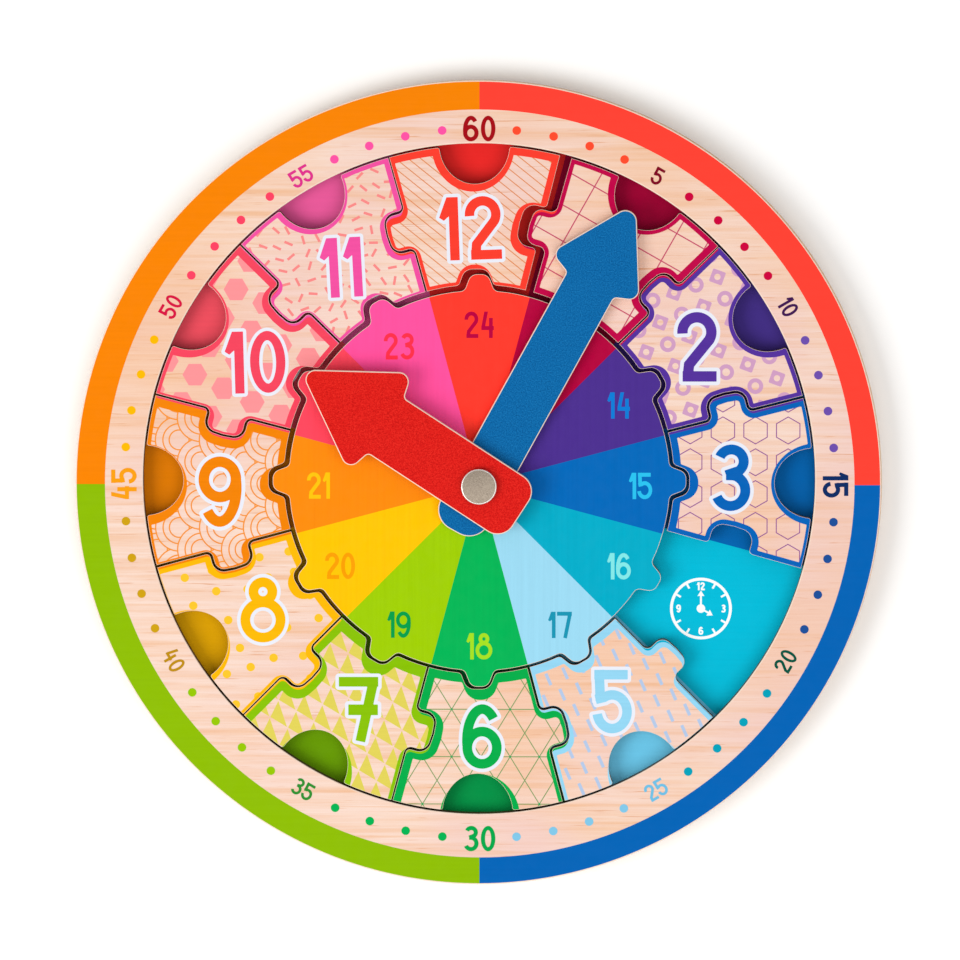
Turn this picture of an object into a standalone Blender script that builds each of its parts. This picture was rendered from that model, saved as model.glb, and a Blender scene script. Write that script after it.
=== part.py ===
"""Wooden teaching clock: a round tray board with lift-out hour pieces and two turning hands.

Metres, +Z up. The clock lies on its back with 12 o'clock towards +Y, and the origin is at the
centre of its underside. Clock angles are in degrees, clockwise from 12 o'clock.
"""

import math

import bmesh
import bpy

# Gaps: one between stacked pieces, one round a turned fit, and the overrun of every cutter.
SEAT_GAP = 0.0003
BORE_FIT = 0.0003
OVERRUN = 0.001

# One sheet gives the ring, the middle disc and the hour pieces, and lies on the base.
SHEET_THICKNESS = 0.006
BASE_WEB = 0.0019

# Across the face, from the middle out: disc, gap, hour piece, gap, ring.
HOURS = 12
DISC_RADIUS = 0.0664
DISC_GAP = 0.0015
PIECE_LENGTH = 0.0484
PIECE_RIM_GAP = 0.0007
RING_WIDTH = 0.0233
LAMINATE_SLIP = 0.0004
BOARD_EDGE = 0.0007
BOARD_SIDES = 80

# Where the saw and the drill stood against the board's centre.
TRAY_SHIFT = (0.0001, 0.0015)
DISC_SHIFT = (0.0003, 0.0010)
PIVOT_SHIFT = (0.0003, -0.0004)

# One locating bump on the disc for each hour, and the play of the socket that takes it.
BUMP_HEIGHT = 0.0056
BUMP_TOP_HALF = 0.0030
BUMP_FOOT_HALF = 0.0052
BUMP_TOP_ROUND = 0.0032
BUMP_FOOT_ROUND = 0.0022
SOCKET_PLAY_SHARE = 2.22
SOCKET_DEPTH_FIT = 0.0002

# Hour pieces: ring sectors with a tab on the side that the hands come from.
PIECE_SIDE_FIT = 0.00045
PIECE_EDGE = 0.0004
TAB_PLACE_SHARE = 0.46
TAB_REACH = 0.0073
TAB_CROWN = 0.0005
TAB_HALF = 0.0068
TAB_ROUND = 0.0038
TAB_FOOT_ROUND = 0.0019
NOTCH_HALF = 0.0118
NOTCH_DEPTH = 0.0134
NOTCH_LIP = 0.0013

# The pieces that lie in the tray, and how far each has crept clockwise, in side fits.
CREEP_SHARES = {
    1: 3.83, 2: 2.71, 3: 2.71, 5: 1.13, 6: 0.99, 7: 0.14,
    8: -0.90, 9: -0.99, 10: -1.58, 11: -2.26, 12: -3.38,
}

# Hands: flat arrows, the minute hand under the hour hand.
HAND_THICKNESS = 0.003
HAND_EDGE = 0.0005
MINUTE_TURN = 28.9
MINUTE_LENGTH = 0.1095
MINUTE_HEAD = 0.0263
MINUTE_BARB_HALF = 0.0176
MINUTE_BARB_DROP = 0.0034
MINUTE_SHAFT_HALF = 0.0094
MINUTE_TAIL = 0.0181
MINUTE_TAIL_ROUND = 0.0075
MINUTE_TIP_ROUND = 0.0040
HOUR_TURN = 303.1
HOUR_LENGTH = 0.0716
HOUR_HEAD = 0.0306
HOUR_BARB_HALF = 0.0205
HOUR_BARB_DROP = 0.0025
HOUR_SHAFT_HALF = 0.0115
HOUR_TAIL = 0.0174
HOUR_TAIL_ROUND = 0.0064
HOUR_TIP_ROUND = 0.0034
BARB_ROUND = 0.0034
NECK_ROUND = 0.0016

# Pivot: a capped barrel from the front, a screw from the back, and the washers on them.
BARREL_RADIUS = 0.0025
BARREL_WALL = 0.0008
CAP_LIP = 0.0037
CAP_THICKNESS = 0.0010
CAP_EDGE = 0.0003
WASHER_WIDTH = 0.0052
WASHER_THICKNESS = 0.0004
SPRING_WIDTH = 0.0022
SPRING_THICKNESS = 0.0003
SPRING_RISE = 0.0003
REAR_WASHER_WIDTH = 0.0045
REAR_WASHER_THICKNESS = 0.0005
COUNTERBORE_FIT = 0.0006
SCREW_RECESS = 0.0004
SCREW_HEAD_LIP = 0.0031
SCREW_HEAD_THICKNESS = 0.0011
SCREW_HEAD_EDGE = 0.0003
SCREW_TIP_CLEARANCE = 0.0056
SLOT_WIDTH = 0.0010
SLOT_DEPTH_SHARE = 0.45
PIVOT_SIDES = 24

# How finely round stretches are drawn, as turn for each straight step, and what counts as a
# real edge when the faces are shaded, in degrees.
FILLET_STEP = 28.0
RIM_STEP = 5.0
NOTCH_STEP = 20.0
SHARP_BEND = 35.0

# Radii, from the middle out.
PIECE_INNER = DISC_RADIUS + DISC_GAP
PIECE_OUTER = PIECE_INNER + PIECE_LENGTH
TAB_RADIUS = PIECE_INNER + TAB_PLACE_SHARE * PIECE_LENGTH
TRAY_RADIUS = PIECE_OUTER + PIECE_RIM_GAP
BOARD_RADIUS = TRAY_RADIUS + RING_WIDTH
SOCKET_SIDE_FIT = SOCKET_PLAY_SHARE * PIECE_SIDE_FIT
BARREL_HOLE = BARREL_RADIUS + BORE_FIT
BARREL_BORE = BARREL_RADIUS - BARREL_WALL
SCREW_SHANK_RADIUS = BARREL_BORE - BORE_FIT
REAR_WASHER_HOLE = SCREW_SHANK_RADIUS + BORE_FIT
COUNTERBORE_RADIUS = REAR_WASHER_HOLE + REAR_WASHER_WIDTH + COUNTERBORE_FIT

# Heights of the stack, from the table up.
SCREW_HEAD_FLOOR = SCREW_RECESS
SCREW_HEAD_TOP = SCREW_HEAD_FLOOR + SCREW_HEAD_THICKNESS
REAR_WASHER_FLOOR = SCREW_HEAD_TOP + SEAT_GAP
COUNTERBORE_DEPTH = REAR_WASHER_FLOOR + REAR_WASHER_THICKNESS + SEAT_GAP
BASE_THICKNESS = COUNTERBORE_DEPTH + BASE_WEB
LAYER_FLOOR = BASE_THICKNESS + SEAT_GAP
LAYER_TOP = LAYER_FLOOR + SHEET_THICKNESS
LOWER_WASHER_FLOOR = LAYER_TOP + SEAT_GAP
MINUTE_FLOOR = LOWER_WASHER_FLOOR + WASHER_THICKNESS + SEAT_GAP
MIDDLE_WASHER_FLOOR = MINUTE_FLOOR + HAND_THICKNESS + SEAT_GAP
HOUR_FLOOR = MIDDLE_WASHER_FLOOR + WASHER_THICKNESS + SEAT_GAP
SPRING_FLOOR = HOUR_FLOOR + HAND_THICKNESS + SEAT_GAP
CAP_FLOOR = SPRING_FLOOR + SPRING_THICKNESS + SPRING_RISE + SEAT_GAP
CAP_TOP = CAP_FLOOR + CAP_THICKNESS

# Colours as the photograph shows them, linear red, green and blue.
MAPLE = (0.80, 0.56, 0.43)
PLY_EDGE = (0.72, 0.52, 0.33)
NICKEL = (0.60, 0.58, 0.55)
NYLON = (0.80, 0.78, 0.72)
HAND_RED = (0.70, 0.024, 0.020)
HAND_BLUE = (0.0, 0.130, 0.400)
HOUR_COLOURS = {
    1: (0.55, 0.0, 0.09), 2: (0.10, 0.03, 0.33), 3: (0.0, 0.12, 0.55), 5: (0.30, 0.66, 0.86),
    6: (0.0, 0.44, 0.07), 7: (0.33, 0.56, 0.0), 8: (0.95, 0.56, 0.0), 9: (0.90, 0.26, 0.0),
    10: (0.92, 0.06, 0.10), 11: (0.88, 0.09, 0.40), 12: (0.95, 0.06, 0.03),
}


def clear_scene():
    for obj in list(bpy.data.objects):
        bpy.data.objects.remove(obj)


def finish(name, colour, roughness, metallic=0.0):
    """A plain material in one colour."""
    made = bpy.data.materials.new(name)
    made.use_nodes = True
    shader = made.node_tree.nodes["Principled BSDF"]
    shader.inputs["Base Color"].default_value = (*colour, 1.0)
    shader.inputs["Roughness"].default_value = roughness
    shader.inputs["Metallic"].default_value = metallic
    made.diffuse_color = (*colour, 1.0)
    return made


def on_clock(degrees, radius):
    """The point at this clock angle and radius."""
    angle = math.radians(degrees)
    return radius * math.sin(angle), radius * math.cos(angle)


def turned(points, degrees, shift=(0.0, 0.0)):
    """The points turned clockwise about the middle, then shifted."""
    cosine = math.cos(math.radians(degrees))
    sine = math.sin(math.radians(degrees))
    return [
        (x * cosine + y * sine + shift[0], y * cosine - x * sine + shift[1]) for x, y in points
    ]


def circle(radius, sides, shift=(0.0, 0.0)):
    """The corners of a many-sided circle, clockwise."""
    return turned([on_clock(360.0 * i / sides, radius) for i in range(sides)], 0.0, shift)


def rim(radius, start, end):
    """Corners with no rounding along a circle, from one clock angle to another, ends included."""
    count = max(1, math.ceil(abs(end - start) / RIM_STEP))
    return [
        (*on_clock(start + (end - start) * i / count, radius), 0.0) for i in range(count + 1)
    ]


def fitted_roundings(corners):
    """The (heading in, bend, rounding) of each corner, with roundings that their sides can hold."""
    bends = []
    for i, (x, y, radius) in enumerate(corners):
        before = corners[i - 1]
        after = corners[(i + 1) % len(corners)]
        into = math.atan2(y - before[1], x - before[0])
        out = math.atan2(after[1] - y, after[0] - x)
        bend = math.remainder(out - into, math.tau)
        bends.append((into, bend, radius, radius * math.tan(abs(bend) / 2.0)))
    room = []
    for i, (x, y, _) in enumerate(corners):
        before = corners[i - 1]
        wanted = bends[i - 1][3] + bends[i][3]
        side = math.hypot(x - before[0], y - before[1])
        room.append(min(1.0, side / wanted) if wanted > 0.0 else 1.0)
    return [
        (into, bend, radius * min(room[i], room[(i + 1) % len(room)]))
        for i, (into, bend, radius, _) in enumerate(bends)
    ]


def rounded(corners):
    """A closed outline through (x, y, rounding) corners, each rounding drawn as an arc."""
    points = []
    for (x, y, _), (into, bend, radius) in zip(corners, fitted_roundings(corners)):
        if radius <= 0.0:
            points.append((x, y))
            continue
        reach = radius * math.tan(abs(bend) / 2.0)
        side = math.copysign(radius, bend)
        centre_x = x - reach * math.cos(into) - side * math.sin(into)
        centre_y = y - reach * math.sin(into) + side * math.cos(into)
        steps = max(2, math.ceil(math.degrees(abs(bend)) / FILLET_STEP))
        for k in range(steps + 1):
            heading = into + bend * k / steps
            points.append(
                (centre_x + side * math.sin(heading), centre_y - side * math.cos(heading))
            )
    return points


def inset(points, distance):
    """A clockwise outline drawn in by a distance, each corner along its own bisector."""
    moved = []
    for i, (x, y) in enumerate(points):
        before = points[i - 1]
        after = points[(i + 1) % len(points)]
        into = math.atan2(y - before[1], x - before[0])
        out = math.atan2(after[1] - y, after[0] - x)
        bend = math.remainder(out - into, math.tau)
        heading = into + bend / 2.0
        reach = distance / math.cos(bend / 2.0)
        moved.append((x + reach * math.sin(heading), y - reach * math.cos(heading)))
    return moved


def add_object(name, bm, material=None):
    mesh = bpy.data.meshes.new(name)
    bmesh.ops.recalc_face_normals(bm, faces=bm.faces)
    bm.to_mesh(mesh)
    bm.free()
    if material:
        mesh.materials.append(material)
    obj = bpy.data.objects.new(name, mesh)
    bpy.context.scene.collection.objects.link(obj)
    return obj


def plate(name, outline, floor, thickness, material, top_edge=0.0, foot_edge=0.0):
    """A flat piece cut to an outline, with its upper and lower edges eased."""
    bm = bmesh.new()
    base = bm.faces.new([bm.verts.new((x, y, floor)) for x, y in outline])
    raised = bmesh.ops.extrude_face_region(bm, geom=[base])["geom"]
    upper = [item for item in raised if isinstance(item, bmesh.types.BMVert)]
    bmesh.ops.translate(bm, verts=upper, vec=(0.0, 0.0, thickness))
    lid = next(item for item in raised if isinstance(item, bmesh.types.BMFace))
    for face, width in ((lid, top_edge), (base, foot_edge)):
        if width > 0.0:
            bmesh.ops.bevel(
                bm, geom=list(face.edges), offset=width, segments=1, affect="EDGES", clamp_overlap=True
            )
    return add_object(name, bm, material)


def shade_round(obj):
    """Smooth shading over the gentle bends, with the real edges kept."""
    obj.data.shade_smooth()
    obj.data.set_sharp_from_angle(angle=math.radians(SHARP_BEND))


def turned_piece(name, profile, material, centre, hollow):
    """A solid of revolution about a vertical axis, from its (radius, height) profile.

    A hollow piece has a closed profile clear of the axis. A solid one is closed by flat ends.
    """
    bm = bmesh.new()
    rings = [[bm.verts.new((x, y, z)) for x, y in circle(r, PIVOT_SIDES)] for r, z in profile]
    pairs = list(zip(rings, rings[1:]))
    if hollow:
        pairs.append((rings[-1], rings[0]))
    else:
        bm.faces.new(rings[0])
        bm.faces.new(rings[-1])
    for one, two in pairs:
        for i in range(PIVOT_SIDES):
            n = (i + 1) % PIVOT_SIDES
            bm.faces.new((one[i], one[n], two[n], two[i]))
    obj = add_object(name, bm, material)
    obj.location = (*centre, 0.0)
    shade_round(obj)
    return obj


def as_tool(obj):
    """A hidden object that only cuts others."""
    obj.hide_render = True
    obj.display_type = "WIRE"
    return obj


def drill(name, profile):
    """A turned cutter on the pivot's axis."""
    return as_tool(turned_piece(name, profile, None, PIVOT_SHIFT, hollow=False))


def cut(obj, tool):
    bore = obj.modifiers.new("bore", "BOOLEAN")
    bore.operation = "DIFFERENCE"
    bore.solver = "EXACT"
    bore.object = tool


def along_ray(degrees, pairs):
    """Corners given as (sideways, outward, rounding) beside the ray at a clock angle."""
    out_x, out_y = on_clock(degrees, 1.0)
    return [(out_x * r + out_y * t, out_y * r - out_x * t, radius) for t, r, radius in pairs]


def bump_corners(degrees, foot_radius, side_fit=0.0, depth_fit=0.0):
    """The locating bump that stands on a circle, widened and heightened by its fits."""
    foot_half = BUMP_FOOT_HALF + side_fit
    top_half = BUMP_TOP_HALF + side_fit
    foot = math.sqrt(foot_radius**2 - foot_half**2)
    top = foot_radius + BUMP_HEIGHT + depth_fit
    return along_ray(
        degrees,
        [
            (-foot_half, foot, BUMP_FOOT_ROUND),
            (-top_half, top, BUMP_TOP_ROUND),
            (top_half, top, BUMP_TOP_ROUND),
            (foot_half, foot, BUMP_FOOT_ROUND),
        ],
    )


def tab_corners(degrees):
    """The cut beside a tab, from the outer end of the tab's foot to the inner end."""
    return along_ray(
        degrees,
        [
            (0.0, TAB_RADIUS + TAB_HALF, TAB_FOOT_ROUND),
            (-TAB_REACH, TAB_RADIUS + TAB_HALF, TAB_ROUND),
            (-TAB_REACH - TAB_CROWN, TAB_RADIUS, 0.0),
            (-TAB_REACH, TAB_RADIUS - TAB_HALF, TAB_ROUND),
            (0.0, TAB_RADIUS - TAB_HALF, TAB_FOOT_ROUND),
        ],
    )


def lip_angle(outer_radius):
    """The clock angle at which the notch's side meets the outer edge."""
    return math.degrees(math.asin(NOTCH_HALF / outer_radius))


def notch_corners(outer_radius):
    """The half-round finger notch at the outer edge, with eased lips."""
    corners = [(*on_clock(-lip_angle(outer_radius), outer_radius), NOTCH_LIP)]
    start = math.degrees(math.asin(2.0 * NOTCH_LIP / NOTCH_DEPTH))
    count = math.ceil((180.0 - 2.0 * start) / NOTCH_STEP)
    for i in range(count + 1):
        angle = math.radians(start + (180.0 - 2.0 * start) * i / count)
        corners.append(
            (-NOTCH_HALF * math.cos(angle), outer_radius - NOTCH_DEPTH * math.sin(angle), 0.0)
        )
    corners.append((*on_clock(lip_angle(outer_radius), outer_radius), NOTCH_LIP))
    return corners


def piece_outline():
    """An hour piece about the tray's middle, clockwise, as if its hour were 12 o'clock."""
    half_turn = 180.0 / HOURS
    outer = PIECE_OUTER + PIECE_SIDE_FIT
    inner = PIECE_INNER - PIECE_SIDE_FIT
    mouth = lip_angle(outer)
    lip_turn = math.degrees(2.0 * NOTCH_LIP / outer)
    side_fit = SOCKET_SIDE_FIT - PIECE_SIDE_FIT
    foot_turn = math.degrees((BUMP_FOOT_HALF + side_fit + 2.0 * BUMP_FOOT_ROUND) / inner)
    corners = rim(outer, -half_turn, -mouth - lip_turn)
    corners += notch_corners(outer)
    corners += rim(outer, mouth + lip_turn, half_turn)
    corners += tab_corners(half_turn)
    corners += rim(inner, half_turn, foot_turn)
    corners += reversed(bump_corners(0.0, inner, side_fit, SOCKET_DEPTH_FIT - PIECE_SIDE_FIT))
    corners += rim(inner, -foot_turn, -half_turn)
    corners += reversed(tab_corners(-half_turn))
    return inset(rounded(corners), PIECE_SIDE_FIT)


def disc_outline():
    """The middle disc with a bump at each hour, clockwise."""
    hour = 360.0 / HOURS
    foot_turn = math.degrees((BUMP_FOOT_HALF + 2.0 * BUMP_FOOT_ROUND) / DISC_RADIUS)
    corners = []
    for i in range(HOURS):
        corners += bump_corners(hour * i, DISC_RADIUS)
        corners += rim(DISC_RADIUS, hour * i + foot_turn, hour * (i + 1) - foot_turn)
    return rounded(corners)


def arrow_outline(length, head, barb_half, barb_drop, shaft_half, tail, tail_round, tip_round):
    """A hand that points to 12 o'clock with its pivot in the middle, clockwise."""
    side = math.atan2(barb_half, head)
    tip = length + tip_round * (1.0 / math.sin(side) - 1.0)
    half = [
        (barb_half, length - head, BARB_ROUND),
        (shaft_half, length - head - barb_drop, NECK_ROUND),
        (shaft_half, -tail, tail_round),
    ]
    mirrored = [(-x, y, radius) for x, y, radius in reversed(half)]
    return rounded([(0.0, tip, tip_round)] + half + mirrored)


def minute_outline():
    return arrow_outline(
        MINUTE_LENGTH, MINUTE_HEAD, MINUTE_BARB_HALF, MINUTE_BARB_DROP,
        MINUTE_SHAFT_HALF, MINUTE_TAIL, MINUTE_TAIL_ROUND, MINUTE_TIP_ROUND,
    )


def hour_outline():
    return arrow_outline(
        HOUR_LENGTH, HOUR_HEAD, HOUR_BARB_HALF, HOUR_BARB_DROP,
        HOUR_SHAFT_HALF, HOUR_TAIL, HOUR_TAIL_ROUND, HOUR_TIP_ROUND,
    )


def base_board(wood):
    """The lower layer, bored for the barrel and counterbored from behind for the screw."""
    outline = circle(BOARD_RADIUS, BOARD_SIDES, (LAMINATE_SLIP / 2.0, 0.0))
    obj = plate("base_board", outline, 0.0, BASE_THICKNESS, wood, 0.0, BOARD_EDGE)
    profile = [
        (COUNTERBORE_RADIUS, -OVERRUN),
        (COUNTERBORE_RADIUS, COUNTERBORE_DEPTH),
        (BARREL_HOLE, COUNTERBORE_DEPTH),
        (BARREL_HOLE, BASE_THICKNESS + OVERRUN),
    ]
    cut(obj, drill("base_bore", profile))
    shade_round(obj)


def minute_ring(wood):
    """The upper layer: a ring round the tray, its inner circle shifted as it was sawn."""
    bm = bmesh.new()
    loops = []
    for radius, shift in ((BOARD_RADIUS, (-LAMINATE_SLIP / 2.0, 0.0)), (TRAY_RADIUS, TRAY_SHIFT)):
        for z in (LAYER_FLOOR, LAYER_TOP):
            loops.append([bm.verts.new((x, y, z)) for x, y in circle(radius, BOARD_SIDES, shift)])
    outer_low, outer_high, inner_low, inner_high = loops
    for one, two in (
        (outer_low, outer_high),
        (outer_high, inner_high),
        (inner_high, inner_low),
        (inner_low, outer_low),
    ):
        for i in range(BOARD_SIDES):
            n = (i + 1) % BOARD_SIDES
            bm.faces.new((one[i], two[i], two[n], one[n]))
    crest = [bm.edges.get((outer_high[i - 1], outer_high[i])) for i in range(BOARD_SIDES)]
    bmesh.ops.bevel(bm, geom=crest, offset=BOARD_EDGE, segments=1, affect="EDGES")
    shade_round(add_object("minute_ring", bm, wood))


def hour_disc(wood):
    """The fixed disc in the middle of the tray."""
    outline = turned(disc_outline(), 0.0, DISC_SHIFT)
    obj = plate("hour_disc", outline, LAYER_FLOOR, SHEET_THICKNESS, wood, PIECE_EDGE)
    bore = [(BARREL_HOLE, LAYER_FLOOR - OVERRUN), (BARREL_HOLE, LAYER_TOP + OVERRUN)]
    cut(obj, drill("disc_bore", bore))
    shade_round(obj)


def hour_pieces():
    """The lift-out pieces, each in its own place and creep."""
    shape = piece_outline()
    side_fit_turn = math.degrees(PIECE_SIDE_FIT / PIECE_OUTER)
    for hour, share in CREEP_SHARES.items():
        outline = turned(shape, 360.0 * hour / HOURS + share * side_fit_turn, TRAY_SHIFT)
        paint = finish(f"piece_{hour:02d}_print", HOUR_COLOURS[hour], 0.5)
        obj = plate(f"piece_{hour:02d}", outline, LAYER_FLOOR, SHEET_THICKNESS, paint, PIECE_EDGE)
        shade_round(obj)


def hand(name, outline, turn, floor, paint):
    """A hand bored for the barrel, its origin on the joint's axis."""
    obj = plate(name, turned(outline, turn), 0.0, HAND_THICKNESS, paint, HAND_EDGE, HAND_EDGE)
    obj.location = (*PIVOT_SHIFT, floor)
    bore = [(BARREL_HOLE, floor - OVERRUN), (BARREL_HOLE, floor + HAND_THICKNESS + OVERRUN)]
    cut(obj, drill(f"{name}_bore", bore))
    shade_round(obj)


def washer(name, hole, width, floor, thickness, material, rise=0.0):
    """A washer on the pivot's axis, dished where its hole's edge rises."""
    profile = [
        (hole, floor + rise),
        (hole + width, floor),
        (hole + width, floor + thickness),
        (hole, floor + rise + thickness),
    ]
    turned_piece(name, profile, material, PIVOT_SHIFT, hollow=True)


def washers(nickel, nylon):
    for name, floor in (
        ("lower_washer", LOWER_WASHER_FLOOR),
        ("middle_washer", MIDDLE_WASHER_FLOOR),
    ):
        washer(name, BARREL_HOLE, WASHER_WIDTH, floor, WASHER_THICKNESS, nylon)
    washer(
        "spring_washer", BARREL_HOLE, SPRING_WIDTH, SPRING_FLOOR, SPRING_THICKNESS, nickel, SPRING_RISE
    )
    washer(
        "rear_washer", REAR_WASHER_HOLE, REAR_WASHER_WIDTH, REAR_WASHER_FLOOR,
        REAR_WASHER_THICKNESS, nickel,
    )


def capped_barrel(nickel):
    """The post that the hands turn on, with its flat cap, bored from below for the screw."""
    cap_radius = BARREL_RADIUS + CAP_LIP
    profile = [
        (BARREL_RADIUS, COUNTERBORE_DEPTH),
        (BARREL_RADIUS, CAP_FLOOR),
        (cap_radius, CAP_FLOOR),
        (cap_radius, CAP_TOP - CAP_EDGE),
        (cap_radius - CAP_EDGE, CAP_TOP),
    ]
    post = turned_piece("capped_barrel", profile, nickel, PIVOT_SHIFT, hollow=False)
    bore = [(BARREL_BORE, COUNTERBORE_DEPTH - OVERRUN), (BARREL_BORE, SPRING_FLOOR)]
    cut(post, drill("barrel_bore", bore))


def rear_screw(nickel):
    """The slotted screw that holds the barrel from behind."""
    head_radius = SCREW_SHANK_RADIUS + SCREW_HEAD_LIP
    profile = [
        (head_radius - SCREW_HEAD_EDGE, SCREW_HEAD_FLOOR),
        (head_radius, SCREW_HEAD_FLOOR + SCREW_HEAD_EDGE),
        (head_radius, SCREW_HEAD_TOP),
        (SCREW_SHANK_RADIUS, SCREW_HEAD_TOP),
        (SCREW_SHANK_RADIUS, SPRING_FLOOR - SCREW_TIP_CLEARANCE),
    ]
    screw = turned_piece("rear_screw", profile, nickel, PIVOT_SHIFT, hollow=False)
    bm = bmesh.new()
    bmesh.ops.create_cube(bm, size=1.0)
    slot_depth = SLOT_DEPTH_SHARE * SCREW_HEAD_THICKNESS
    size = (2.0 * (head_radius + OVERRUN), SLOT_WIDTH, 2.0 * slot_depth)
    bmesh.ops.scale(bm, vec=size, verts=bm.verts)
    slot = as_tool(add_object("screw_slot", bm))
    slot.location = (*PIVOT_SHIFT, SCREW_HEAD_FLOOR)
    cut(screw, slot)


def main():
    clear_scene()
    maple = finish("maple_board", MAPLE, 0.55)
    nickel = finish("nickel", NICKEL, 0.32, 1.0)
    base_board(finish("ply_base", PLY_EDGE, 0.6))
    minute_ring(maple)
    hour_disc(maple)
    hour_pieces()
    hand("minute_hand", minute_outline(), MINUTE_TURN, MINUTE_FLOOR, finish("blue_paint", HAND_BLUE, 0.45))
    hand("hour_hand", hour_outline(), HOUR_TURN, HOUR_FLOOR, finish("red_paint", HAND_RED, 0.45))
    washers(nickel, finish("nylon", NYLON, 0.5))
    capped_barrel(nickel)
    rear_screw(nickel)


main()
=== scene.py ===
"""The looks of a wooden teaching clock: printed boards, hour tiles, hands and pivot.

Metres, +Z up out of the dial, 12 o'clock towards +Y. Clock angles are in degrees, clockwise
from 12 o'clock. The prints are worked out in millimetres of the board's own plane.
"""

import logging
import math
import random
from dataclasses import dataclass, field
from enum import Enum
from typing import Iterator, Optional, Sequence, Union

import bmesh
import bpy
import numpy as np
from mathutils import Matrix, Vector
from mathutils.geometry import delaunay_2d_cdt


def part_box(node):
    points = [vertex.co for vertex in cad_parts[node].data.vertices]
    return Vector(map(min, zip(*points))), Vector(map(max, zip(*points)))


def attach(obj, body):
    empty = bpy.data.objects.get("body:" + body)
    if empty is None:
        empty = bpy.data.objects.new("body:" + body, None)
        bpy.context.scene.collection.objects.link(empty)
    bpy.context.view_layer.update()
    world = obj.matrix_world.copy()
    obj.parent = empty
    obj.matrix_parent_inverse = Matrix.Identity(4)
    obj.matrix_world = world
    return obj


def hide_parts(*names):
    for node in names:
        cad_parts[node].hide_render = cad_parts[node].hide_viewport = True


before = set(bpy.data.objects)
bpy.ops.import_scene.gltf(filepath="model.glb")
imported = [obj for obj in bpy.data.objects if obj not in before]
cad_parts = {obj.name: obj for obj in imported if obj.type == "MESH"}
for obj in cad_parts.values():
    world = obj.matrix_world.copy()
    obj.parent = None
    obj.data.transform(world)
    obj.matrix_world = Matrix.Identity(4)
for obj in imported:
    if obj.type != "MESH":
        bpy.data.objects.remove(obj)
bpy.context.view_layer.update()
LOG = logging.getLogger("teaching_clock")

MM = 0.001
FACE_WELD = 0.0008
BACK_WELD = 1e-6
INK_STEP = 0.003
HOURS = 12
HOUR_TURN = 360.0 / HOURS

Point = tuple[float, float]
Corner = tuple[float, float, float]
Loop = np.ndarray
Colour = tuple[float, float, float]


def linear(hex_colour: str) -> Colour:
    """A colour written as on screen, turned into linear light.

    Args:
        hex_colour: six hexadecimal digits, red first.

    Returns:
        The linear red, green and blue.
    """
    shown = [int(hex_colour[i : i + 2], 16) / 255.0 for i in (0, 2, 4)]
    return tuple(c / 12.92 if c <= 0.04045 else ((c + 0.055) / 1.055) ** 2.4 for c in shown)


def shaded(colour: Colour, share: float) -> Colour:
    """The colour with each part multiplied by one share."""
    return tuple(part * share for part in colour)


# Shaders


class Signal:
    """One output of a shader node, with arithmetic that adds Math nodes."""

    def __init__(self, shader: "Shader", socket: bpy.types.NodeSocket) -> None:
        """Wraps the socket.

        Args:
            shader: the material's node builder.
            socket: the output that this signal stands for.
        """
        self.shader = shader
        self.socket = socket

    def _maths(self, operation: str, *operands: "Term") -> "Signal":
        """One Math node over these operands."""
        values = dict(enumerate(operands))
        return self.shader.node("ShaderNodeMath", {"operation": operation}, values)

    def __add__(self, other: "Term") -> "Signal":
        """Sum."""
        return self._maths("ADD", self, other)

    __radd__ = __add__

    def __mul__(self, other: "Term") -> "Signal":
        """Product."""
        return self._maths("MULTIPLY", self, other)

    __rmul__ = __mul__

    def __sub__(self, other: "Term") -> "Signal":
        """Difference."""
        return self._maths("SUBTRACT", self, other)

    def __rsub__(self, other: "Term") -> "Signal":
        """Difference from a number."""
        return self._maths("SUBTRACT", other, self)

    def clamped(self) -> "Signal":
        """The signal kept between nought and one."""
        return self._maths("MINIMUM", self._maths("MAXIMUM", self, 0.0), 1.0)

    def above(self, low: float, high: float) -> "Signal":
        """A soft step: nought under low, one over high."""
        return ((self - low) * (1.0 / (high - low))).clamped()


Term = Union[Signal, float]


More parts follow.
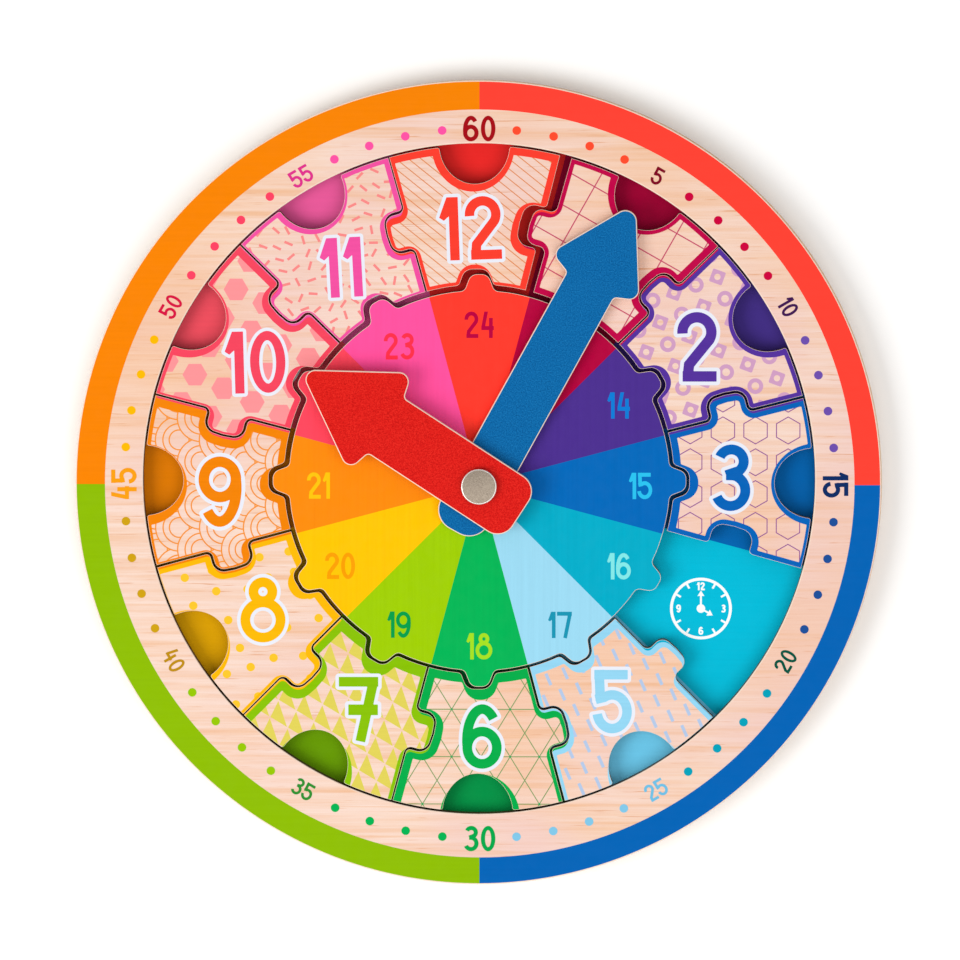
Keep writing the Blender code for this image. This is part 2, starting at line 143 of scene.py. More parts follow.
class Shader:
    """Builds the node tree of one material."""

    def __init__(self, name: str) -> None:
        """Starts a material with its Principled shader.

        Args:
            name: the material's name.
        """
        self.material = bpy.data.materials.new(name)
        self.material.use_nodes = True
        self.tree = self.material.node_tree
        self.surface = self.tree.nodes["Principled BSDF"]

    def node(
        self,
        kind: str,
        settings: Optional[dict] = None,
        inputs: Optional[dict] = None,
        output: Union[int, str] = 0,
    ) -> Signal:
        """Adds a node, sets it and feeds it.

        Args:
            kind: the node's type.
            settings: its properties, which are set first.
            inputs: values or signals by the name or number of the input.
            output: the output that is wanted.

        Returns:
            The signal of that output.
        """
        made = self.tree.nodes.new(kind)
        for key, value in (settings or {}).items():
            setattr(made, key, value)
        for key, value in (inputs or {}).items():
            self.feed(made.inputs[key], value)
        return Signal(self, made.outputs[output])

    def feed(self, socket: bpy.types.NodeSocket, value: Union[Term, Sequence[float]]) -> None:
        """Links a signal to an input, or sets the input's own value.

        Args:
            socket: the input.
            value: a signal, a number, or the parts of a vector or colour.
        """
        if isinstance(value, Signal):
            self.tree.links.new(value.socket, socket)
        elif isinstance(value, (int, float)):
            socket.default_value = value
        else:
            socket.default_value = (*value, 1.0)[: len(socket.default_value)]

    def place(self, stretch: Sequence[float]) -> Signal:
        """The place on the piece, in metres, multiplied along each axis.

        Args:
            stretch: the multiplier of each axis.

        Returns:
            The stretched place.
        """
        spot = self.node("ShaderNodeTexCoord", output="Object")
        scaling = {"Vector": spot, "Scale": stretch}
        return self.node("ShaderNodeMapping", {"vector_type": "POINT"}, scaling)

    def noise(self, stretch: Sequence[float], detail: float = 2.0, rough: float = 0.5) -> Signal:
        """Soft noise between nought and one, with this many features to the metre by axis."""
        inputs = {"Vector": self.place(stretch), "Scale": 1.0, "Detail": detail, "Roughness": rough}
        return self.node("ShaderNodeTexNoise", {"noise_dimensions": "3D"}, inputs)

    def blend(
        self, share: Term, one: Union[Signal, Colour], two: Union[Signal, Colour], how: str = "MIX"
    ) -> Signal:
        """One colour mixed into another.

        Args:
            share: how much of the second colour, or of its effect, shows.
            one: the colour below.
            two: the colour above.
            how: the mixing rule.

        Returns:
            The mixed colour.
        """
        settings = {"data_type": "RGBA", "blend_type": how, "clamp_factor": True}
        return self.node("ShaderNodeMix", settings, {0: share, 6: one, 7: two}, output=2)

    def finish(
        self, colour: Signal, roughness: Term, height: Optional[Signal] = None, depth: float = 0.0
    ) -> bpy.types.Material:
        """Connects the surface.

        Args:
            colour: the base colour.
            roughness: the roughness.
            height: relief between nought and one, if there is any.
            depth: the real height of that relief in metres.

        Returns:
            The finished material.
        """
        self.feed(self.surface.inputs["Base Color"], colour)
        self.feed(self.surface.inputs["Roughness"], roughness)
        if height is not None:
            relief = {"Height": height, "Distance": depth, "Strength": 1.0}
            self.feed(self.surface.inputs["Normal"], self.node("ShaderNodeBump", {}, relief))
        return self.material


class Grain(Enum):
    """The way that the wood's grain runs on the clock."""

    ACROSS = 0
    UPRIGHT = 1

    def stretch(self, along: float, over: float) -> tuple[float, float, float]:
        """Features to the metre by axis, from those along the grain and those across it."""
        pair = (along, over) if self is Grain.ACROSS else (over, along)
        return (*pair, over)


@dataclass(frozen=True)
class Wood:
    """Pale close-grained wood with thin satin lacquer."""

    name: str
    grain: Grain = Grain.ACROSS
    pale: str = "EED4C6"
    deep: str = "E8BC9C"
    fleck: str = "D0823F"
    blush: str = "E8C4BC"
    warm: str = "EBB88A"
    roughness: float = 0.48
    sheen: float = 0.22

    def grain_colour(self, shader: Shader) -> Signal:
        """The wood's own colour with streaks, short flecks and slow changes of tone.

        Args:
            shader: the material's node builder.

        Returns:
            The colour.
        """
        streak = shader.noise(self.grain.stretch(14.0, 520.0), 4.0, 0.62).above(0.40, 0.66)
        vein = shader.noise(self.grain.stretch(9.0, 260.0), 3.0, 0.7).above(0.52, 0.70)
        fibre = shader.noise(self.grain.stretch(70.0, 3200.0), 2.0).above(0.35, 0.75)
        fleck = shader.noise(self.grain.stretch(60.0, 1500.0), 2.0, 0.6).above(0.64, 0.74)
        tone = shader.noise((11.0, 14.0, 11.0), 3.0).above(0.42, 0.62)
        colour = shader.blend(streak * 0.7, linear(self.pale), linear(self.deep))
        glow = shader.noise((8.0, 10.0, 8.0), 2.0).above(0.50, 0.64)
        colour = shader.blend(tone * 0.8, colour, linear(self.blush))
        colour = shader.blend(glow * 0.5, colour, linear(self.warm))
        colour = shader.blend(vein * 0.5, colour, linear("E4AC7C"))
        colour = shader.blend(fibre * 0.16, colour, linear(self.deep), "MULTIPLY")
        return shader.blend(fleck * 0.6, colour, linear(self.fleck))

    def material(self) -> bpy.types.Material:
        """The lacquered wood.

        Returns:
            Its material.
        """
        shader = Shader(self.name)
        shader.surface.inputs["Specular IOR Level"].default_value = self.sheen
        fibre = shader.noise(self.grain.stretch(80.0, 2400.0), 3.0)
        colour = self.grain_colour(shader)
        return shader.finish(colour, fibre * 0.16 + (self.roughness - 0.08), fibre, 0.00003)


@dataclass(frozen=True)
class Ink:
    """Printing ink on wood, thin enough for the grain to show."""

    name: str
    colour: str
    grain: Grain = Grain.ACROSS
    show: float = 0.14
    roughness: float = 0.46
    sheen: float = 0.02

    def material(self) -> bpy.types.Material:
        """The printed surface.

        Returns:
            Its material.
        """
        shader = Shader(self.name)
        shader.surface.inputs["Specular IOR Level"].default_value = self.sheen
        ink = linear(self.colour)
        streak = shader.noise(self.grain.stretch(20.0, 900.0), 4.0, 0.6).above(0.34, 0.74)
        mottle = shader.noise((260.0, 260.0, 260.0), 3.0).above(0.3, 0.7)
        speck = shader.noise((3600.0, 3600.0, 3600.0), 1.0).above(0.58, 0.72)
        light = tuple(part + (1.0 - part) * self.show * 0.1 for part in ink)
        colour = shader.blend(streak * self.show * 2.6, ink, shaded(ink, 0.78))
        colour = shader.blend(mottle * 0.22, colour, light)
        colour = shader.blend(speck * self.show * 0.8, colour, light)
        return shader.finish(colour, mottle * 0.1 + (self.roughness - 0.05), streak, 0.00002)


@dataclass(frozen=True)
class HandPaint:
    """Satin paint on the hands, finely speckled."""

    name: str
    colour: str
    light: str
    dark: str

    def material(self) -> bpy.types.Material:
        """The painted surface.

        Returns:
            Its material.
        """
        shader = Shader(self.name)
        shader.surface.inputs["Specular IOR Level"].default_value = 0.04
        grit = shader.noise((2300.0, 2300.0, 2300.0), 2.0, 0.7)
        cloud = shader.noise((90.0, 90.0, 90.0), 3.0).above(0.3, 0.7)
        colour = shader.blend(grit.above(0.5, 0.66) * 0.75, linear(self.colour), linear(self.light))
        colour = shader.blend(grit.above(0.5, 0.34) * 0.8, colour, linear(self.dark))
        colour = shader.blend(cloud * 0.1, colour, linear(self.light))
        return shader.finish(colour, cloud * 0.1 + 0.42, grit, 0.00004)


@dataclass(frozen=True)
class PlyEdge:
    """The sawn wall of a thin board, with its plies."""

    name: str
    pale: str = "EBCDA8"
    dark: str = "C89A6C"
    pore: str = "9C6E48"
    ply: float = 0.0015

    def material(self) -> bpy.types.Material:
        """The sawn edge: pale and darker plies, with short end-grain streaks.

        Returns:
            Its material.
        """
        shader = Shader(self.name)
        waver = shader.noise((60.0, 60.0, 30.0), 2.0)
        height = shader.node("ShaderNodeSeparateXYZ", {}, {0: shader.place((1.0, 1.0, 1.0))}, "Z")
        layer = shader.node(
            "ShaderNodeMath",
            {"operation": "PINGPONG"},
            {0: height + waver * (self.ply * 0.2), 1: self.ply},
        )
        second = (layer * (1.0 / self.ply)).above(0.42, 0.58)
        pore = shader.noise((1500.0, 1500.0, 5200.0), 2.0).above(0.45, 0.75)
        colour = shader.blend(second * 0.8, linear(self.pale), linear(self.dark))
        colour = shader.blend(pore * 0.35, colour, linear(self.pore))
        return shader.finish(colour, pore * 0.15 + 0.6, pore, 0.00005)


@dataclass(frozen=True)
class BareEdge:
    """The eased edge of a piece, sanded through to pale wood."""

    name: str
    colour: str = "F3DCCB"

    def material(self) -> bpy.types.Material:
        """The sanded edge.

        Returns:
            Its material.
        """
        shader = Shader(self.name)
        shader.surface.inputs["Specular IOR Level"].default_value = 0.2
        fibre = shader.noise((700.0, 700.0, 700.0), 3.0).above(0.35, 0.75)
        colour = shader.blend(fibre * 0.5, linear(self.colour), linear("E6C4A8"))
        return shader.finish(colour, fibre * 0.12 + 0.5, fibre, 0.00003)


@dataclass(frozen=True)
class Nickel:
    """Satin nickel plate."""

    name: str
    bright: str = "968A7C"
    dull: str = "7A6D61"
    grit: float = 2600.0

    def material(self) -> bpy.types.Material:
        """The plated surface with faint turning marks and cloudiness.

        Returns:
            Its material.
        """
        shader = Shader(self.name)
        shader.surface.inputs["Metallic"].default_value = 1.0
        cloud = shader.noise((self.grit, self.grit, self.grit), 3.0).above(0.3, 0.7)
        scratch = shader.noise((9000.0, 700.0, 700.0), 2.0).above(0.45, 0.7)
        colour = shader.blend(cloud * 0.5, linear(self.bright), linear(self.dull))
        return shader.finish(colour, cloud * 0.14 + scratch * 0.08 + 0.3, scratch, 0.00001)


@dataclass(frozen=True)
class Nylon:
    """Natural white nylon."""

    name: str

    def material(self) -> bpy.types.Material:
        """The moulded plastic.

        Returns:
            Its material.
        """
        shader = Shader(self.name)
        cloud = shader.noise((800.0, 800.0, 800.0), 2.0)
        colour = shader.blend(cloud * 0.4, linear("ECE8DE"), linear("D8D2C4"))
        return shader.finish(colour, cloud * 0.1 + 0.42, cloud, 0.00002)


@dataclass(frozen=True)
class Backdrop:
    """The pale surface that the clock lies on."""

    name: str

    def material(self) -> bpy.types.Material:
        """Matt white with the faintest mottle.

        Returns:
            Its material.
        """
        shader = Shader(self.name)
        mottle = shader.noise((9.0, 9.0, 9.0), 3.0)
        colour = shader.blend(mottle * 0.3, linear("FDFDFD"), linear("FBFBFA"))
        return shader.finish(colour, mottle * 0.1 + 0.8)


Finish = Union[Wood, Ink, HandPaint, PlyEdge, BareEdge, Nickel, Nylon, Backdrop]


class Paintbox:
    """Makes each finish's material once."""

    def __init__(self) -> None:
        """Starts with no material made."""
        self.made: dict[str, bpy.types.Material] = {}

    def __call__(self, finish: Finish) -> bpy.types.Material:
        """The material of a finish, made the first time that it is asked for.

        Args:
            finish: the finish.

        Returns:
            Its material.
        """
        if finish.name not in self.made:
            self.made[finish.name] = finish.material()
        return self.made[finish.name]


PAINTBOX = Paintbox()
MAPLE = Wood("pale_maple")
MAPLE_UPRIGHT = Wood("pale_maple_upright", Grain.UPRIGHT)
SANDED_EDGE = BareEdge("sanded_edge")
SAWN_PLY = PlyEdge("sawn_ply")
# Dark brown walls for the tiles, the disc and the ring's well: painted shade, so that the gaps
# between the pieces read black.
GAP_SHADE_PLY = PlyEdge("gap_shade_ply", "6B4A30", "4A2F1C", "2A190E")
BACK_WOOD = Wood("back_birch", Grain.ACROSS, "EED9BC", "DDBD95", "B98A5C", "E8CBAA", "DDBD95", 0.6)
HALO_WHITE = Ink("halo_white", "E2E5F0", show=0.05)
CLOCK_WHITE = Ink("clock_white", "F6F8F8", show=0.03)


# Shapes in the plane


def on_clock(degrees: float, radius: float) -> Point:
    """The point at this clock angle and radius."""
    angle = math.radians(degrees)
    return radius * math.sin(angle), radius * math.cos(angle)


def turned(points: Sequence, degrees: float, shift: Point = (0.0, 0.0)) -> Loop:
    """Points turned clockwise about the middle, then shifted.

    Args:
        points: (x, y) points.
        degrees: how far they turn.
        shift: how far they then move.

    Returns:
        The moved points.
    """
    cosine = math.cos(math.radians(degrees))
    sine = math.sin(math.radians(degrees))
    return np.asarray(points, float) @ np.array([[cosine, -sine], [sine, cosine]]) + shift


def circle(radius: float, centre: Point = (0.0, 0.0), sides: int = 48) -> Loop:
    """A clockwise circle."""
    return np.array([on_clock(360.0 * i / sides, radius) for i in range(sides)]) + centre


def ellipse_arc(
    centre: Point, radii: Point, start: float, end: float, step: float = 7.0
) -> list[Point]:
    """Points along an ellipse, from one angle to another, measured as on graph paper.

    Args:
        centre: the ellipse's middle.
        radii: its half widths across and up.
        start: the first angle, in degrees.
        end: the last one.
        step: the most that the angle grows between two points.

    Returns:
        The points, both ends included.
    """
    count = max(2, math.ceil(abs(end - start) / step))
    angles = [math.radians(start + (end - start) * i / count) for i in range(count + 1)]
    x, y = centre
    return [(x + radii[0] * math.cos(a), y + radii[1] * math.sin(a)) for a in angles]


def rounded(corners: Sequence[Corner], step: float = 9.0) -> Loop:
    """A closed outline with each corner drawn as an arc of its own radius.

    Args:
        corners: (x, y, rounding) in order.
        step: the turn for each straight stretch of an arc, in degrees.

    Returns:
        The outline's points.
    """
    count = len(corners)
    bends = []
    for i, (x, y, radius) in enumerate(corners):
        before = corners[i - 1]
        after = corners[(i + 1) % count]
        into = math.atan2(y - before[1], x - before[0])
        bend = math.remainder(math.atan2(after[1] - y, after[0] - x) - into, math.tau)
        bends.append((into, bend, radius * math.tan(abs(bend) / 2.0)))
    room = []
    for i, (x, y, _) in enumerate(corners):
        wanted = bends[i - 1][2] + bends[i][2]
        side = math.hypot(x - corners[i - 1][0], y - corners[i - 1][1])
        room.append(min(1.0, side / wanted) if wanted > 0.0 else 1.0)
    points = []
    for i, ((x, y, radius), (into, bend, _)) in enumerate(zip(corners, bends)):
        radius = radius * min(room[i], room[(i + 1) % count])
        if radius <= 0.0:
            points.append((x, y))
            continue
        reach = radius * math.tan(abs(bend) / 2.0)
        side = math.copysign(radius, bend)
        centre_x = x - reach * math.cos(into) - side * math.sin(into)
        centre_y = y - reach * math.sin(into) + side * math.cos(into)
        steps = max(2, math.ceil(math.degrees(abs(bend)) / step))
        for k in range(steps + 1):
            heading = into + bend * k / steps
            points.append(
                (centre_x + side * math.sin(heading), centre_y - side * math.cos(heading))
            )
    return np.array(points)


def outward(loop: Loop) -> Loop:
    """For each corner, the step away from the side that lies left of the loop's direction.

    Args:
        loop: the corners in order.

    Returns:
        One step for each corner, for a distance of one.
    """
    ahead = np.roll(loop, -1, axis=0) - loop
    ahead /= np.maximum(np.linalg.norm(ahead, axis=1, keepdims=True), 1e-12)
    behind = np.roll(ahead, 1, axis=0)
    normal = np.stack([ahead[:, 1] + behind[:, 1], -ahead[:, 0] - behind[:, 0]], axis=1)
    return normal / np.maximum((normal**2).sum(axis=1, keepdims=True) / 2.0, 0.2)


def drawn_in(loop: Loop, distance: float) -> Loop:
    """A clockwise loop drawn in by a distance."""
    return loop + outward(loop) * distance


def signed_distance(points: np.ndarray, loops: Sequence[Loop]) -> np.ndarray:
    """Distance to an even-odd shape, negative inside it.

    Args:
        points: the places to measure.
        loops: the shape's loops.

    Returns:
        One distance for each place.
    """
    nearest = np.full(len(points), np.inf)
    inside = np.zeros(len(points), bool)
    for loop in loops:
        for one, two in zip(loop, np.roll(loop, -1, axis=0)):
            side = two - one
            to_point = points - one
            share = np.clip(to_point @ side / max(side @ side, 1e-18), 0.0, 1.0)
            nearest = np.minimum(nearest, ((to_point - share[:, None] * side) ** 2).sum(axis=1))
            crosses = (one[1] > points[:, 1]) != (two[1] > points[:, 1])
            if crosses.any():
                at_x = one[0] + (points[crosses, 1] - one[1]) * side[0] / side[1]
                inside[crosses] ^= points[crosses, 0] < at_x
    return np.where(inside, -1.0, 1.0) * np.sqrt(nearest)


def contains(points: np.ndarray, loops: Sequence[Loop]) -> np.ndarray:
    """Whether each point lies in an even-odd shape.

    Args:
        points: the places to test.
        loops: the shape's loops.

    Returns:
        One answer for each place.
    """
    every = np.concatenate(loops)
    low, high = every.min(axis=0), every.max(axis=0)
    near = ((points >= low) & (points <= high)).all(axis=1)
    found = np.zeros(len(points), bool)
    chosen = points[near]
    if len(chosen):
        inside = np.zeros(len(chosen), bool)
        for loop in loops:
            after = np.roll(loop, -1, axis=0)
            for one, two in zip(loop, after):
                crosses = (one[1] > chosen[:, 1]) != (two[1] > chosen[:, 1])
                if crosses.any():
                    slope = (two[0] - one[0]) / (two[1] - one[1])
                    at_x = one[0] + (chosen[crosses, 1] - one[1]) * slope
                    inside[crosses] ^= chosen[crosses, 0] < at_x
        found[near] = inside
    return found


def contour(heights: np.ndarray, low: Point, step: float, level: float) -> list[Loop]:
    """The closed lines where a grid of heights crosses a level.

    Args:
        heights: rows of heights, the first row lowest.
        low: the place of the first height.
        step: the grid's spacing.
        level: the height of the line.

    Returns:
        The closed loops.
    """
    above = heights > level
    links: dict[tuple, tuple] = {}
    code = above[:-1, :-1] * 1 + above[:-1, 1:] * 2 + above[1:, 1:] * 4 + above[1:, :-1] * 8
    sides = {
        1: [("w", "s")], 2: [("s", "e")], 3: [("w", "e")], 4: [("e", "n")],
        5: [("w", "n"), ("e", "s")], 6: [("s", "n")], 7: [("w", "n")], 8: [("n", "w")],
        9: [("n", "s")], 10: [("s", "w"), ("n", "e")], 11: [("n", "e")], 12: [("e", "w")],
        13: [("e", "s")], 14: [("s", "w")],
    }
    for row, column in zip(*np.nonzero((code > 0) & (code < 15))):
        edge_of = {
            "s": (row, column, 0), "n": (row + 1, column, 0),
            "w": (row, column, 1), "e": (row, column + 1, 1),
        }
        for start, end in sides[code[row, column]]:
            links[edge_of[start]] = edge_of[end]
    loops = []
    while links:
        first = key = next(iter(links))
        points = []
        while key in links:
            row, column, upright = key
            here = heights[row, column]
            there = heights[row + upright, column + 1 - upright]
            share = (level - here) / (there - here)
            shift = np.array([0.0, share]) if upright else np.array([share, 0.0])
            points.append(np.array([column, row]) + shift)
            key = links.pop(key)
            if key == first:
                break
        loops.append(np.array(points) * step + low)
    return [loop for loop in loops if len(loop) > 3]


def simplified(loop: Loop, tolerance: float) -> Loop:
    """A closed loop with only the points that its shape needs.

    Args:
        loop: the points.
        tolerance: how far the line may move.

    Returns:
        The chosen points.
    """
    far = int(np.argmax(((loop - loop[0]) ** 2).sum(axis=1)))
    keep = {0, far}
    ring = np.vstack([loop, loop[:1]])
    stack = [(0, far), (far, len(loop))]
    while stack:
        start, end = stack.pop()
        if end - start < 2:
            continue
        chord = ring[end] - ring[start]
        away = ring[start + 1 : end] - ring[start]
        length = max(np.hypot(*chord), 1e-12)
        distance = np.abs(away[:, 0] * chord[1] - away[:, 1] * chord[0]) / length
        worst = int(np.argmax(distance))
        if distance[worst] > tolerance:
            middle = start + 1 + worst
            keep.add(middle)
            stack += [(start, middle), (middle, end)]
    return loop[sorted(keep)]


def offset_shape(loops: Sequence[Loop], distance: float, step: float) -> list[Loop]:
    """An even-odd shape grown by a distance, or shrunk by a negative one.

    Args:
        loops: the shape's loops.
        distance: how far its edge moves out.
        step: the spacing of the grid that it is measured on.

    Returns:
        The new shape's loops.
    """
    every = np.concatenate(loops)
    margin = max(distance, 0.0) + 3.0 * step
    low = every.min(axis=0) - margin
    count = np.ceil((every.max(axis=0) + margin - low) / step).astype(int) + 1
    xs = low[0] + step * np.arange(count[0])
    ys = low[1] + step * np.arange(count[1])
    grid = np.stack(np.meshgrid(xs, ys), axis=-1).reshape(-1, 2)
    heights = signed_distance(grid, loops).reshape(count[1], count[0])
    found = contour(heights, tuple(low), step, distance)
    return [simplified(loop, step * 0.06) for loop in found]


# Numerals


def band(points: Sequence[Point], width: float) -> Loop:
    """A stroke of even width with square ends along a line of points.

    Args:
        points: the stroke's middle line.
        width: its width.

    Returns:
        The stroke's closed outline.
    """
    line = np.asarray(points, float)
    ahead = np.diff(line, axis=0)
    ahead /= np.linalg.norm(ahead, axis=1, keepdims=True)
    normals = np.stack([-ahead[:, 1], ahead[:, 0]], axis=1)
    joined = np.vstack([normals[:1], normals[:-1] + normals[1:], normals[-1:]])
    joined /= np.maximum((joined**2).sum(axis=1, keepdims=True) / 2.0, 0.3)
    joined[0], joined[-1] = normals[0], normals[-1]
    return np.vstack([line + joined * width / 2.0, (line - joined * width / 2.0)[::-1]])


@dataclass(frozen=True)
class Numerals:
    """Plain narrow numerals, drawn one unit high from strokes.

    Fields are shares of the numerals' height, and whether the seven has a bar across its stem.
    """

    stroke: float = 0.15
    halo: float = 0.0
    spacing: float = 0.09
    grid: float = 0.008
    crossed: bool = False

    def strokes(self, digit: str) -> list[list[Loop]]:
        """The even-odd shapes that make up a digit, about x = 0, from y = 0 to 1.

        Args:
            digit: the digit.

        Returns:
            The loops of each stroke.
        """
        half = self.stroke / 2.0
        top = 1.0 - half
        if digit == "0":
            return [self.ring((0.0, 0.5), (0.285, 0.5))]
        if digit == "1":
            right = self.stroke / 2.0
            flag = [
                (-right, 0.0), (right, 0.0), (right, 1.0), (-right - 0.03, 1.0),
                (-right - 0.155, 0.68), (-right - 0.08, 0.63), (-right, 0.70),
            ]
            return [[np.array(flag)]]
        if digit == "2":
            bowl = ellipse_arc((0.0, 0.712), (0.283 - half, top - 0.712), 186.0, -32.0)
            slant = bowl + [(-0.112, 0.243), (-0.205 + half, half)]
            foot = [(-0.205, half), (0.284, half)]
            return [[band(slant, self.stroke)], [band(foot, self.stroke)]]
        if digit == "3":
            upper = ellipse_arc((0.02, 0.745), (0.26 - half, top - 0.745), 158.0, -52.0)
            lower = ellipse_arc((0.008, 0.308), (0.297 - half, 0.308 - half), 78.0, -156.0)
            return [
                [band(upper + [(-0.06, 0.538)], self.stroke)],
                [band([(-0.06, 0.538)] + lower, self.stroke)],
            ]
        if digit == "4":
            slant = [
                (-0.25, 0.30), (-0.25, 0.42), (-0.13, 1.0), (self.stroke - 0.13, 1.0),
                (self.stroke - 0.25, 0.42), (self.stroke - 0.25, 0.30),
            ]
            return [
                [np.array(slant)],
                [band([(-0.25, 0.30 + half), (0.26, 0.30 + half)], self.stroke)],
                [band([(0.14, 0.0), (0.14, 0.76)], self.stroke)],
            ]
        if digit == "5":
            left = -0.295 + half
            bowl = ellipse_arc((-0.015, 0.341), (0.31 - half, 0.341 - half), 122.0, -172.0)
            return [
                [band([(-0.295, top), (0.23, top)], self.stroke)],
                [band([(left, 1.0), (left + 0.02, 0.51)], self.stroke)],
                [band([(left - half + 0.02, 0.535)] + bowl, self.stroke)],
            ]
        if digit in "69":
            bowl = self.ring((0.005, 0.326), (0.303, 0.326))
            sweep = ellipse_arc((0.01, 0.44), (0.313 - half, top - 0.44), 190.0, 44.0)
            shapes = [bowl, [band(sweep, self.stroke)]]
            if digit == "6":
                return shapes
            return [[np.array([0.0, 1.0]) - loop for loop in shape] for shape in shapes]
        if digit == "7":
            stem = [(0.305 - half, top), (0.028, 0.0)]
            shapes = [[band([(-0.303, top), (0.305, top)], self.stroke)], [band(stem, self.stroke)]]
            if self.crossed:
                shapes.append([band([(-0.157, 0.49), (0.30, 0.49)], self.stroke * 1.1)])
            return shapes
        upper = 0.145 + half
        lower = 0.270 + half
        return [
            self.ring((0.0, 1.0 - upper), (upper, upper)),
            self.ring((0.0, lower), (lower, lower)),
        ]

    def ring(self, centre: Point, radii: Point) -> list[Loop]:
        """A closed oval stroke, from its outer radii."""
        inner = (radii[0] - self.stroke, radii[1] - self.stroke)
        return [np.array(ellipse_arc(centre, size, 0.0, 353.0)) for size in (radii, inner)]

    def digit(self, character: str) -> tuple[list[Loop], list[Loop]]:
        """A digit's ink and halo, about x = 0, from y = 0 to 1.

        Args:
            character: the digit.

        Returns:
            The loops of the ink and those of the halo, empty where there is none.
        """
        reach = self.halo + 3.0 * self.grid
        xs = np.arange(-0.42 - reach, 0.42 + reach, self.grid)
        ys = np.arange(-reach, 1.0 + reach, self.grid)
        spots = np.stack(np.meshgrid(xs, ys), axis=-1).reshape(-1, 2)
        heights = np.full(len(spots), np.inf)
        for shape in self.strokes(character):
            heights = np.minimum(heights, signed_distance(spots, shape))
        heights = heights.reshape(len(ys), len(xs))
        low = (xs[0], ys[0])
        tolerance = self.grid * 0.1
        ink = [simplified(loop, tolerance) for loop in contour(heights, low, self.grid, 0.0)]
        if self.halo <= 0.0:
            return ink, []
        outer = contour(heights, low, self.grid, self.halo)
        return ink, [simplified(loop, tolerance) for loop in outer]


class NumeralSetter:
    """Sets numbers in one style, drawing each digit once."""

    WIDTHS = {"1": 0.30, "8": 0.69}
    USUAL_WIDTH = 0.59

    def __init__(self, style: Numerals) -> None:
        """Starts with no digit drawn.

        Args:
            style: the numerals' proportions.
        """
        self.style = style
        self.drawn: dict[str, tuple[list[Loop], list[Loop]]] = {}

    def number(
        self, text: str, height: float, centre: Point, lean: float = 0.0, narrow: float = 1.0
    ) -> tuple[list[list[Loop]], list[list[Loop]]]:
        """A number's ink and halo shapes in place.

        Args:
            text: the digits.
            height: their height.
            centre: the number's middle.
            lean: how far it is turned, clockwise.
            narrow: the share of its usual width.

        Returns:
            The even-odd shapes of the ink and those of the halo.
        """
        widths = [self.WIDTHS.get(digit, self.USUAL_WIDTH) for digit in text]
        total = sum(widths) + self.style.spacing * (len(text) - 1)
        left = -total / 2.0
        ink, halo = [], []
        for digit, width in zip(text, widths):
            if digit not in self.drawn:
                self.drawn[digit] = self.style.digit(digit)
            middle = left + width / 2.0 + (0.075 if digit == "1" else 0.0)
            for shapes, loops in zip((ink, halo), self.drawn[digit]):
                moved = [
                    turned((loop + (middle, -0.5)) * (height * narrow, height), lean, centre)
                    for loop in loops
                ]
                if moved:
                    shapes.append(moved)
            left += width + self.style.spacing
        return ink, halo


# Printed boards


@dataclass
class Mark:
    """One printed shape: even-odd loops and the finish that fills them."""

    loops: list[Loop]
    finish: Finish


def boundary_loops(triangles: np.ndarray) -> list[list[int]]:
    """The loops of edges that only one triangle has, each with the inside on its left.

    Args:
        triangles: rows of three point numbers.

    Returns:
        The point numbers along each loop.
    """
    edges = {(int(t[k]), int(t[(k + 1) % 3])) for t in triangles for k in range(3)}
    following = {a: b for a, b in edges if (b, a) not in edges}
    loops = []
    while following:
        start = here = next(iter(following))
        loop = []
        while here in following:
            loop.append(here)
            here = following.pop(here)
            if here == start:
                break
        loops.append(loop)
    return loops


def triangulated(loops: Sequence[Loop], outline: Sequence[Loop]) -> tuple[np.ndarray, np.ndarray]:
    """Triangles that fill an outline and keep every loop as edges.

    Args:
        loops: all loops to keep, the outline's among them.
        outline: the even-odd shape to fill.

    Returns:
        The points and the triangles, each anticlockwise.
    """
    coords, edges = [], []
    for loop in loops:
        first = len(coords)
        coords += [Vector(point) for point in loop]
        edges += [(first + i, first + (i + 1) % len(loop)) for i in range(len(loop))]
    found = delaunay_2d_cdt(coords, edges, [], 0, FACE_WELD)
    points = np.array([tuple(v) for v in found[0]])
    triangles = np.array([face for face in found[2] if len(face) == 3])
    corners = points[triangles]
    one = corners[:, 1] - corners[:, 0]
    two = corners[:, 2] - corners[:, 0]
    area = one[:, 0] * two[:, 1] - one[:, 1] * two[:, 0]
    triangles[area < 0.0] = triangles[area < 0.0][:, ::-1]
    kept = contains(corners.mean(axis=1), outline) & (np.abs(area) > 1e-9)
    return points, triangles[kept]


